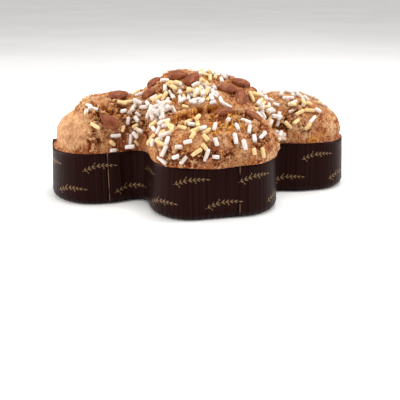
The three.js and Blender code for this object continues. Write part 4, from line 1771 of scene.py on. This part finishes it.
@dataclass
class SprigPrint:
    """Leafy sprigs printed in gold ink on the paper wall, in two staggered rows."""

    case: PaperCase
    count: int = 15
    rows: Floats = (15.0, 37.0)
    stem: float = 31.0
    leaves: int = 7
    leaf_long: float = 4.0
    leaf_wide: float = 1.05
    slant: float = 9.0
    proud: float = 0.06
    bow: float = 2.4
    line: float = 0.16
    berries: int = 3
    berry: float = 1.3
    stagger: float = 0.5
    start: float = 0.18

    def leaf(self, root: Array, heading: float, long: float, wide: float) -> list[Array]:
        """Draws a leaf as a flat strip.

        Args:
            root: Where it starts on the flat print.
            heading: Its direction in degrees.
            long: Its length.
            wide: Its width.

        Returns:
            The strip's cross lines, each of two points.
        """
        along = np.array((math.cos(math.radians(heading)), math.sin(math.radians(heading))))
        across = np.array((-along[1], along[0]))
        lines = []
        for share in np.linspace(0, 1, 9):
            half = wide / 2 * math.sin(math.pi * share**0.8) + 0.06
            middle = root + along * long * share
            lines.append(np.stack([middle - across * half, middle + across * half]))
        return lines

    def sprig(self) -> list[list[Array]]:
        """Draws one sprig around its own middle.

        Returns:
            The strips of the stem, the leaves and the berries.
        """
        bow = [(share, self.bow * (math.sin(math.pi * share) - 0.5)) for share in np.linspace(0, 1, 25)]
        spine = np.array([((share - 0.5) * self.stem, rise) for share, rise in bow])
        strips = [[np.stack([point - (0, self.line), point + (0, self.line)]) for point in spine]]
        for number in range(self.leaves):
            share = (number + 0.7) / (self.leaves + 0.4)
            root = spine[int(share * 24)]
            size = 1 - 0.45 * abs(share - 0.42)
            for side in (1, -1):
                heading = side * (44 - 18 * share) + 18 * math.cos(math.pi * share)
                strips.append(self.leaf(root, heading, self.leaf_long * size, self.leaf_wide * size))
        strips.append(self.leaf(spine[-1], -16, self.leaf_long, self.leaf_wide))
        for number in range(self.berries):
            spot = spine[3 + 6 * number] + np.array((1.4, 3.3 if number % 2 else -3.1))
            strips.append(self.leaf(spot, 0, self.berry, self.berry))
        return strips

    def build(self, finish: Material) -> Piece:
        """Builds the print as a skin that lies on the flutes.

        Args:
            finish: The ink's material.

        Returns:
            The finished piece.
        """
        outline = self.case.plan.outline(1600)
        points: list[Array] = []
        faces: Faces = []
        turn = math.radians(self.slant)
        spin = np.array(((math.cos(turn), -math.sin(turn)), (math.sin(turn), math.cos(turn))))
        strips = [np.array(strip) @ spin.T for strip in self.sprig()]
        pitch = outline.length / self.count
        for number in range(self.count * len(self.rows)):
            row, place = divmod(number, self.count)
            middle = np.array(((place + self.stagger * row + self.start) * pitch, self.rows[row]))
            for strip in strips:
                flat = strip.reshape(-1, 2) + middle
                spot, outward = outline.at(flat[:, 0])
                moved = self.proud + self.case.face(flat[:, 0], flat[:, 1])
                first = sum(len(part) for part in points)
                points.append(np.column_stack([spot + outward * moved[:, None], flat[:, 1]]))
                for line in range(len(strip) - 1):
                    low = first + 2 * line
                    faces.append((low, low + 2, low + 3, low + 1))
        piece = new_piece("gold_sprigs", np.vstack(points), faces)
        piece.data.materials.append(finish)
        return piece


# The crumbs on a square metre of wholly rough crust, and their radius in millimetres.
CRUMB_SPREAD = {"Density": 52000.0, "Smallest": 0.35, "Largest": 1.0}


@dataclass
class Crumbs:
    """Loose bits of broken crust on the rough patches."""

    raggedness: float = 1.3
    seed: int = 11

    def tree(self) -> Tree:
        """Builds the tree that scatters crumbs over the rough and torn crust.

        Returns:
            The tree.
        """
        desk, start = geometry_tree("scattered_crumbs", CRUMB_SPREAD, Seed=Kind.INT)
        told = start.outputs
        seed = {"Seed": told["Seed"]}
        rough = desk.math("MAXIMUM", desk.named("cragged"), desk.product(desk.named("torn"), 0.7))
        density = desk.product(rough, desk.named("free"), told["Density"])
        values = {"Mesh": told["Geometry"], "Density": density, **seed}
        spread = desk.node("GeometryNodeDistributePointsOnFaces", values).outputs["Points"]
        small, large = (desk.product(told[name], MM) for name in ("Smallest", "Largest"))
        chance = "FunctionNodeRandomValue"
        size = desk.node(chance, {2: small, 3: large, **seed}, data_type="FLOAT").outputs[1]
        values = {0: (0.0, 0.0, 0.0), 1: (FULL_TURN,) * 3, **seed}
        turns = desk.node(chance, values, data_type="FLOAT_VECTOR").outputs[0]
        ball = desk.node("GeometryNodeMeshIcoSphere", {"Radius": 1.0, "Subdivisions": 1}).outputs[0]
        real = desk.copies(spread, ball, turns, size)
        shift = desk.scaled(desk.shake(desk.spot(), 0.9, 1.0), self.raggedness * MM)
        return close_tree(desk, start, desk.moved(real, shift))

    def build(self, ground: Piece, finish: Material) -> Piece:
        """Builds the crumbs.

        Args:
            ground: The finished loaf.
            finish: The crumbs' material.

        Returns:
            The finished piece.
        """
        piece = bpy.data.objects.new("crumbs", ground.data.copy())
        bpy.context.collection.objects.link(piece)
        return run_tree(piece, self.tree(), {**CRUMB_SPREAD, "Seed": self.seed, "Finish": finish})


class Groups:
    """The shader node groups that several finishes share."""

    def __init__(self) -> None:
        """Builds each group once."""
        self.mottle = self.build_mottle()
        self.grain = self.build_grain()

    @staticmethod
    def build_mottle() -> Tree:
        """Builds the group that gives an uneven mask.

        Returns:
            A group that takes the patches' size in millimetres and the noise range of the mask.
        """
        inputs = {"Size": Kind.FLOAT, "Low": Kind.FLOAT, "High": Kind.FLOAT}
        desk, start, end = new_tree("mottle", "ShaderNodeTree", inputs, {"Mask": Kind.FLOAT})
        noise = desk.noise(desk.place(), start.outputs["Size"], 4.0, 0.6)
        mask = desk.ramp(noise, start.outputs["Low"], start.outputs["High"])
        desk.tree.links.new(mask, end.inputs["Mask"])
        return desk.tree

    @staticmethod
    def build_grain() -> Tree:
        """Builds the group that gives a fine grain as a normal.

        Returns:
            A group that takes the grain's size and depth in millimetres.
        """
        inputs = {"Size": Kind.FLOAT, "Depth": Kind.FLOAT}
        desk, start, end = new_tree("fine_grain", "ShaderNodeTree", inputs, {"Normal": Kind.VECTOR})
        noise = desk.noise(desk.place(), start.outputs["Size"], 5.0, 0.65)
        height = desk.product(noise, start.outputs["Depth"], MM)
        bump = desk.node("ShaderNodeBump", {"Height": height, "Distance": 1.0, "Strength": 1.0})
        desk.tree.links.new(bump.outputs[0], end.inputs["Normal"])
        return desk.tree


@dataclass(frozen=True)
class Specks:
    """Specks of a colour: their size, the noise range that shows them, and how strong they are."""

    size: float
    low: float = 0.42
    high: float = 0.6
    share: float = 1.0


class Sheet:
    """A material in the making: its nodes, its shader and the shared groups."""

    def __init__(self, name: str, groups: Groups) -> None:
        """Starts a material with a Principled shader.

        Args:
            name: The material's name.
            groups: The shared shader groups.
        """
        self.material = bpy.data.materials.new(name)
        self.material.use_nodes = True
        self.desk = Desk(self.material.node_tree)
        self.shader = self.material.node_tree.nodes["Principled BSDF"]
        self.groups = groups

    def mask(self, specks: Specks) -> Socket:
        """Gives an uneven mask.

        Args:
            specks: What it shows.

        Returns:
            The mask, from 0 to the specks' share.
        """
        values = {"Size": specks.size, "Low": specks.low, "High": specks.high}
        made = self.desk.node("ShaderNodeGroup", values, node_tree=self.groups.mottle)
        shown = made.outputs["Mask"]
        return shown if specks.share == 1.0 else self.desk.product(shown, specks.share)

    def over(self, colour: Socket, code: str, share: Socket) -> Socket:
        """Returns a colour with a share of another one, given by its code, over it."""
        return self.desk.blend(share, colour, linear(code))

    def rough(self, size: float, low: float, high: float) -> None:
        """Gives the shader a roughness that wanders, in patches of a size in millimetres."""
        mask = self.mask(Specks(size))
        self.wire("Roughness", self.desk.ramp(mask, 0.0, 1.0, low, high))

    def wire(self, name: str, value: Socket) -> None:
        """Joins a node's output to the shader's input of that name."""
        self.desk.tree.links.new(value, self.shader.inputs[name])

    def finished(self, colour: Socket, grain: Floats | None = None, **values: float) -> Material:
        """Gives the shader its colour, its grain and its plain numbers.

        Args:
            colour: The colour.
            grain: The grain's size and depth in millimetres.
            **values: Numbers for the shader, each name with _ for a space.

        Returns:
            The finished material.
        """
        self.wire("Base Color", colour)
        for name, value in values.items():
            self.shader.inputs[name.replace("_", " ")].default_value = value
        if grain:
            sizes = dict(zip(("Size", "Depth"), grain))
            made = self.desk.node("ShaderNodeGroup", sizes, node_tree=self.groups.grain)
            self.wire("Normal", made.outputs["Normal"])
        return self.material


@dataclass(frozen=True)
class CrustFinish:
    """The glazed and baked crust, its rough patches and the torn crumb under it."""

    pale: str = "d4aa7e"
    tan: str = "ba783f"
    baked: str = "89420f"
    toast: str = "8a4517"
    # Pale flecks at random, and also a painted highlight on the relief's crests.
    flake_and_crest_highlight: str = "f0c594"
    crag: str = "a9530f"
    # Dark pits and pores, and also painted shade in the relief's hollows.
    pit_and_hollow_shade: str = "752a06"
    crumb_light: str = "dfa044"
    crumb_deep: str = "a6560f"
    pale_specks: Specks = Specks(15.0, 0.40, 0.64)
    baked_specks: Specks = Specks(5.0, 0.44, 0.62, 0.7)
    toast_and_shade_specks: Specks = Specks(6.0, 0.34, 0.56)
    lip_browning_and_shade_specks: Specks = Specks(3.2, 0.38, 0.58)
    crag_specks: Specks = Specks(4.4, 0.35, 0.6, 0.75)
    pit_specks: Specks = Specks(2.2, 0.50, 0.60, 0.72)
    flake_specks: Specks = Specks(1.5, 0.52, 0.64, 0.42)
    pore_specks: Specks = Specks(6.0, 0.40, 0.58, 0.95)
    crumb_specks: Specks = Specks(2.4, 0.42, 0.58)
    pore_size: float = 2.5

    def material(self, groups: Groups) -> Material:
        """Makes the crust's material.

        Args:
            groups: The shared shader groups.

        Returns:
            The material.
        """
        sheet = Sheet("glazed_crust", groups)
        desk, times = sheet.desk, sheet.desk.product
        high, crag, calm, torn = (desk.attribute(name) for name in ("high", "cragged", "calmed", "torn"))
        lively = desk.math("MULTIPLY_ADD", calm, -0.5, 1.0)
        share = desk.math("MAXIMUM", sheet.mask(self.pale_specks), times(calm, 0.6))
        colour = desk.blend(share, linear(self.tan), linear(self.pale))
        colour = sheet.over(colour, self.baked, times(sheet.mask(self.baked_specks), lively))
        # Darker patches and the darker rim: partly baked browning, partly painted shade.
        browning_and_shade = times(desk.attribute("toast"), sheet.mask(self.toast_and_shade_specks))
        # Darker towards the paper rim: partly baked browning, partly painted shade under the lip.
        lip_browning_and_shade = times(desk.attribute("lip_browning_and_shade"), sheet.mask(self.lip_browning_and_shade_specks))
        browning_and_shade = desk.math("MAXIMUM", browning_and_shade, lip_browning_and_shade)
        colour = sheet.over(colour, self.toast, desk.math("MINIMUM", browning_and_shade, 0.8))
        colour = sheet.over(colour, self.crag, times(crag, sheet.mask(self.crag_specks)))
        colour = sheet.over(colour, self.pit_and_hollow_shade, times(sheet.mask(self.pit_specks), lively))
        colour = sheet.over(colour, self.flake_and_crest_highlight, sheet.mask(self.flake_specks))
        pores = desk.ramp(desk.cells(desk.place(), self.pore_size), 0.26, 0.12)
        colour = sheet.over(colour, self.pit_and_hollow_shade, times(pores, sheet.mask(self.pore_specks), lively))
        crumb = sheet.mask(self.crumb_specks)
        crumb = desk.blend(crumb, linear(self.crumb_deep), linear(self.crumb_light))
        colour = desk.blend(torn, colour, crumb)
        # Painted highlight: the crests turn paler the higher the relief stands.
        colour = sheet.over(colour, self.flake_and_crest_highlight, desk.ramp(high, 0.5, 1.8, 0.0, 0.45))
        # Painted shade: the crust darkens where the relief sinks, most in the deepest hollows.
        colour = sheet.over(colour, self.pit_and_hollow_shade, desk.ramp(high, -0.1, -1.4, 0.0, 0.85))
        sheet.rough(7.0, 0.5, 0.74)
        return sheet.finished(colour, (1.3, 0.6), Specular_IOR_Level=0.16)


@dataclass(frozen=True)
class SugarFinish:
    """Pressed sugar, chalky and a little translucent."""

    name: str
    colour: str
    shade: str
    film: str = "d0a06c"
    film_specks: Specks = Specks(3.0, 0.42, 0.66)

    def material(self, groups: Groups) -> Material:
        """Makes the sugar's material.

        Args:
            groups: The shared shader groups.

        Returns:
            The material.
        """
        sheet = Sheet(self.name, groups)
        desk = sheet.desk
        colour = desk.blend(sheet.mask(Specks(1.4)), linear(self.colour), linear(self.shade))
        film = desk.product(desk.attribute("coat"), sheet.mask(self.film_specks))
        colour = sheet.over(colour, self.film, film)
        return sheet.finished(colour, (0.6, 0.16), Roughness=0.5, Specular_IOR_Level=0.4)


@dataclass(frozen=True)
class AlmondFinish:
    """The almonds' brown skin with darker wrinkles."""

    light: str = "9e5a34"
    brown: str = "813f1f"
    dark: str = "481a09"

    def material(self, groups: Groups) -> Material:
        """Makes the skin's material.

        Args:
            groups: The shared shader groups.

        Returns:
            The material.
        """
        sheet = Sheet("almond_skin", groups)
        desk = sheet.desk
        wrinkle = desk.attribute("wrinkle")
        skin = desk.node("ShaderNodeAttribute", attribute_name="grain").outputs["Vector"]
        stripe = desk.noise(desk.vector("MULTIPLY", skin, (0.12, 1.0, 1.0)), 0.9, 2.0, 0.5)
        colour = desk.blend(sheet.mask(Specks(7.0)), linear(self.brown), linear(self.light))
        for code, mask, low, high, share in (
            (self.dark, stripe, 0.5, 0.38, 0.6),
            (self.light, stripe, 0.56, 0.7, 0.5),
            (self.dark, wrinkle, 0.02, -0.16, 0.6),
            (self.light, wrinkle, 0.05, 0.2, 0.35),
        ):
            colour = sheet.over(colour, code, desk.ramp(mask, low, high, 0.0, share))
        sheet.rough(2.0, 0.48, 0.66)
        return sheet.finished(colour, (0.7, 0.12), Specular_IOR_Level=0.25)


@dataclass(frozen=True)
class PaperFinish:
    """Dark brown printed paper with a satin gloss."""

    brown: str = "160908"
    warm: str = "24110f"
    cut_edge_and_highlight: str = "8c6a58"
    shade: str = "040202"
    sheen: str = "c48f88"
    seam_specks: Specks = Specks(16.0, 0.34, 0.62)

    def material(self, groups: Groups) -> Material:
        """Makes the paper's material.

        Args:
            groups: The shared shader groups.

        Returns:
            The material.
        """
        sheet = Sheet("case_paper", groups)
        desk = sheet.desk
        values = {"W": desk.attribute("around"), "Scale": 0.9, "Detail": 3.0, "Roughness": 0.7}
        streak = desk.node("ShaderNodeTexNoise", values, noise_dimensions="1D").outputs[0]
        colour = desk.blend(desk.ramp(streak, 0.35, 0.65), linear(self.brown), linear(self.warm))
        seam = desk.product(desk.attribute("seam"), sheet.mask(self.seam_specks))
        # A paler cut edge with a painted highlight on the overlap's step, and painted shade beside it.
        colour = sheet.over(colour, self.cut_edge_and_highlight, desk.ramp(seam, 0.2, 1.0))
        colour = sheet.over(colour, self.shade, desk.ramp(seam, -0.1, -0.8))
        sheet.rough(4.0, 0.3, 0.4)
        sheet.shader.inputs["Specular Tint"].default_value = linear(self.sheen)
        return sheet.finished(colour, (0.5, 0.03), Specular_IOR_Level=0.1)


@dataclass(frozen=True)
class TwoToneFinish:
    """A matt finish of one colour with specks of another."""

    name: str
    colour: str
    other: str
    specks: Specks
    roughness: float
    metallic: float = 0.0
    specular: float = 0.5

    def material(self, groups: Groups) -> Material:
        """Makes the material.

        Args:
            groups: The shared shader groups.

        Returns:
            The material.
        """
        sheet = Sheet(self.name, groups)
        colour = sheet.desk.blend(sheet.mask(self.specks), linear(self.colour), linear(self.other))
        values = {"Roughness": self.roughness, "Metallic": self.metallic}
        return sheet.finished(colour, **values, Specular_IOR_Level=self.specular)


WHITE_SUGAR = SugarFinish("white_sugar", "eae0d9", "ddd0c7")
YELLOW_SUGAR = SugarFinish("yellow_sugar", "edd19a", "e1bb7c")
GOLD_INK = TwoToneFinish("gold_ink", "7d6040", "46342a", Specks(1.1, 0.5, 0.7), 0.45, metallic=0.5)
CRUMB_BITS = TwoToneFinish("crumb_bits", "dcae7c", "8d5026", Specks(2.2), 0.75, specular=0.3)
FLOOR_PAINT = TwoToneFinish("floor_paint", "efedeb", "f2f1ef", Specks(400.0), 0.9, specular=0.1)


@dataclass(frozen=True)
class Softbox:
    """A soft light: where it hangs and its size in metres, and its power in watts."""

    name: str
    spot: Floats
    width: float
    height: float
    power: float

    def hang(self, target: Vector) -> None:
        """Hangs the light.

        Args:
            target: What it looks at.
        """
        light = bpy.data.lights.new(self.name, "AREA")
        light.shape, light.energy = "RECTANGLE", self.power
        light.size, light.size_y = self.width, self.height
        lamp = bpy.data.objects.new(self.name, light)
        bpy.context.collection.objects.link(lamp)
        lamp.location = self.spot
        lamp.rotation_euler = (target - Vector(self.spot)).to_track_quat("-Z", "Y").to_euler()


SOFTBOXES = (
    Softbox("side_left", (-1.15, -0.4, 0.62), 0.5, 0.8, 5.6),
    Softbox("low_left", (-1.0, 0.3, 0.22), 0.4, 0.6, 6.5),
    Softbox("side_right", (1.2, -0.3, 0.66), 0.5, 0.8, 10.0),
    Softbox("top", (0.1, 0.0, 1.3), 0.9, 0.6, 11.0),
)


@dataclass
class Studio:
    """The pale floor, the soft lights, the pale surroundings and the camera."""

    bearing: float = 12.54
    climb: float = 18.26
    distance: float = 0.6728
    lens: float = 57.5
    sensor: float = 36.0
    shift: Floats = (-0.0049, -0.043)
    target: Floats = (CENTRED * MM, 0.0, 0.0)
    lit: Floats = (0.0, 0.0, 0.06)
    floor_size: float = 60.0
    sky: Floats = (0.05, 0.7, 0.31, 0.76)

    def lay_floor(self, groups: Groups) -> None:
        """Lays a plain pale floor.

        Args:
            groups: The shared shader groups.
        """
        bpy.ops.mesh.primitive_plane_add(size=self.floor_size)
        floor = bpy.context.object
        floor.name = "floor"
        floor.data.materials.append(FLOOR_PAINT.material(groups))
        floor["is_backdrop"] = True

    def surround(self) -> None:
        """Sets up white surroundings that grow brighter upwards."""
        world = bpy.data.worlds.new("pale_room")
        world.use_nodes = True
        desk = Desk(world.node_tree)
        way = desk.node("ShaderNodeTexCoord").outputs["Generated"]
        rise = desk.node("ShaderNodeSeparateXYZ", {0: way}).outputs["Z"]
        background = world.node_tree.nodes["Background"].inputs
        desk.tree.links.new(desk.ramp(rise, *self.sky), background["Strength"])
        background["Color"].default_value = (1.0, 1.0, 1.0, 1.0)
        bpy.context.scene.world = world
        bpy.context.scene.view_settings.view_transform = "Standard"

    def aim_camera(self) -> None:
        """Sets up the camera at the photo's angle."""
        eye = bpy.data.cameras.new("camera")
        eye.lens, eye.sensor_width = self.lens, self.sensor
        eye.shift_x, eye.shift_y = self.shift
        eye.clip_start = 0.01
        camera = bpy.data.objects.new("camera", eye)
        bpy.context.collection.objects.link(camera)
        turn, rise = math.radians(self.bearing), math.radians(self.climb)
        flat = math.cos(rise)
        away = Vector((-math.sin(turn) * flat, -math.cos(turn) * flat, math.sin(rise)))
        camera.location = Vector(self.target) + away * self.distance
        camera.rotation_euler = (-away).to_track_quat("-Z", "Y").to_euler()
        bpy.context.scene.camera = camera

    def build(self, groups: Groups) -> None:
        """Sets up everything around the bread.

        Args:
            groups: The shared shader groups.
        """
        self.lay_floor(groups)
        for softbox in SOFTBOXES:
            softbox.hang(Vector(self.lit))
        self.surround()
        self.aim_camera()


def settle(piece: Piece, slot: str, *nodes: str) -> None:
    """Hands a finished piece to the frame.

    Args:
        piece: The piece.
        slot: The name of a material slot; not used.
        *nodes: The nodes that it stands for.
    """
    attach(piece, BODY)
    if nodes:
        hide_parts(*nodes)
    LOG.info("%s: %d faces", piece.name, len(piece.data.polygons))


def plain_box() -> list[list[float]]:
    """Returns the box round everything that shows, as plain lists."""
    return [[float(value) for value in corner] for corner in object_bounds()]


def main() -> None:
    """Loads the frame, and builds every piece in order."""
    logging.basicConfig(level=logging.INFO, format="%(message)s")
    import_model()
    packed = plain_box()
    groups = Groups()
    plan, wall = Plan(), Wall()
    crown = Crown(plan, wall)
    loaf = Loaf(crown).build(CrustFinish().material(groups))
    almonds = Almonds(crown)
    sugars = [finish.material(groups) for finish in (WHITE_SUGAR, YELLOW_SUGAR)]
    limits = tuple(np.array(corner) / MM - (CENTRED, 0, 0) for corner in packed)
    white, yellow = SugarSticks(crown, almonds, limits).build(loaf, *sugars)
    crumbs = Crumbs().build(loaf, CRUMB_BITS.material(groups))
    case = PaperCase(plan, wall)
    paper = case.build(PaperFinish().material(groups))
    sprigs = SprigPrint(case).build(GOLD_INK.material(groups))
    settle(loaf, "crust", "bread")
    settle(white, "sugar_white", "bread")
    settle(yellow, "sugar_yellow", "bread")
    settle(crumbs, "crust", "bread")
    settle(paper, "case_paper", "paper_case")
    settle(sprigs, "gold_ink", "paper_case")
    for number, piece in enumerate(almonds.build(AlmondFinish().material(groups))):
        settle(piece, "almond_skin", f"almond_{number + 1:02d}")
    Studio().build(groups)


if __name__ == "__main__":
    main()
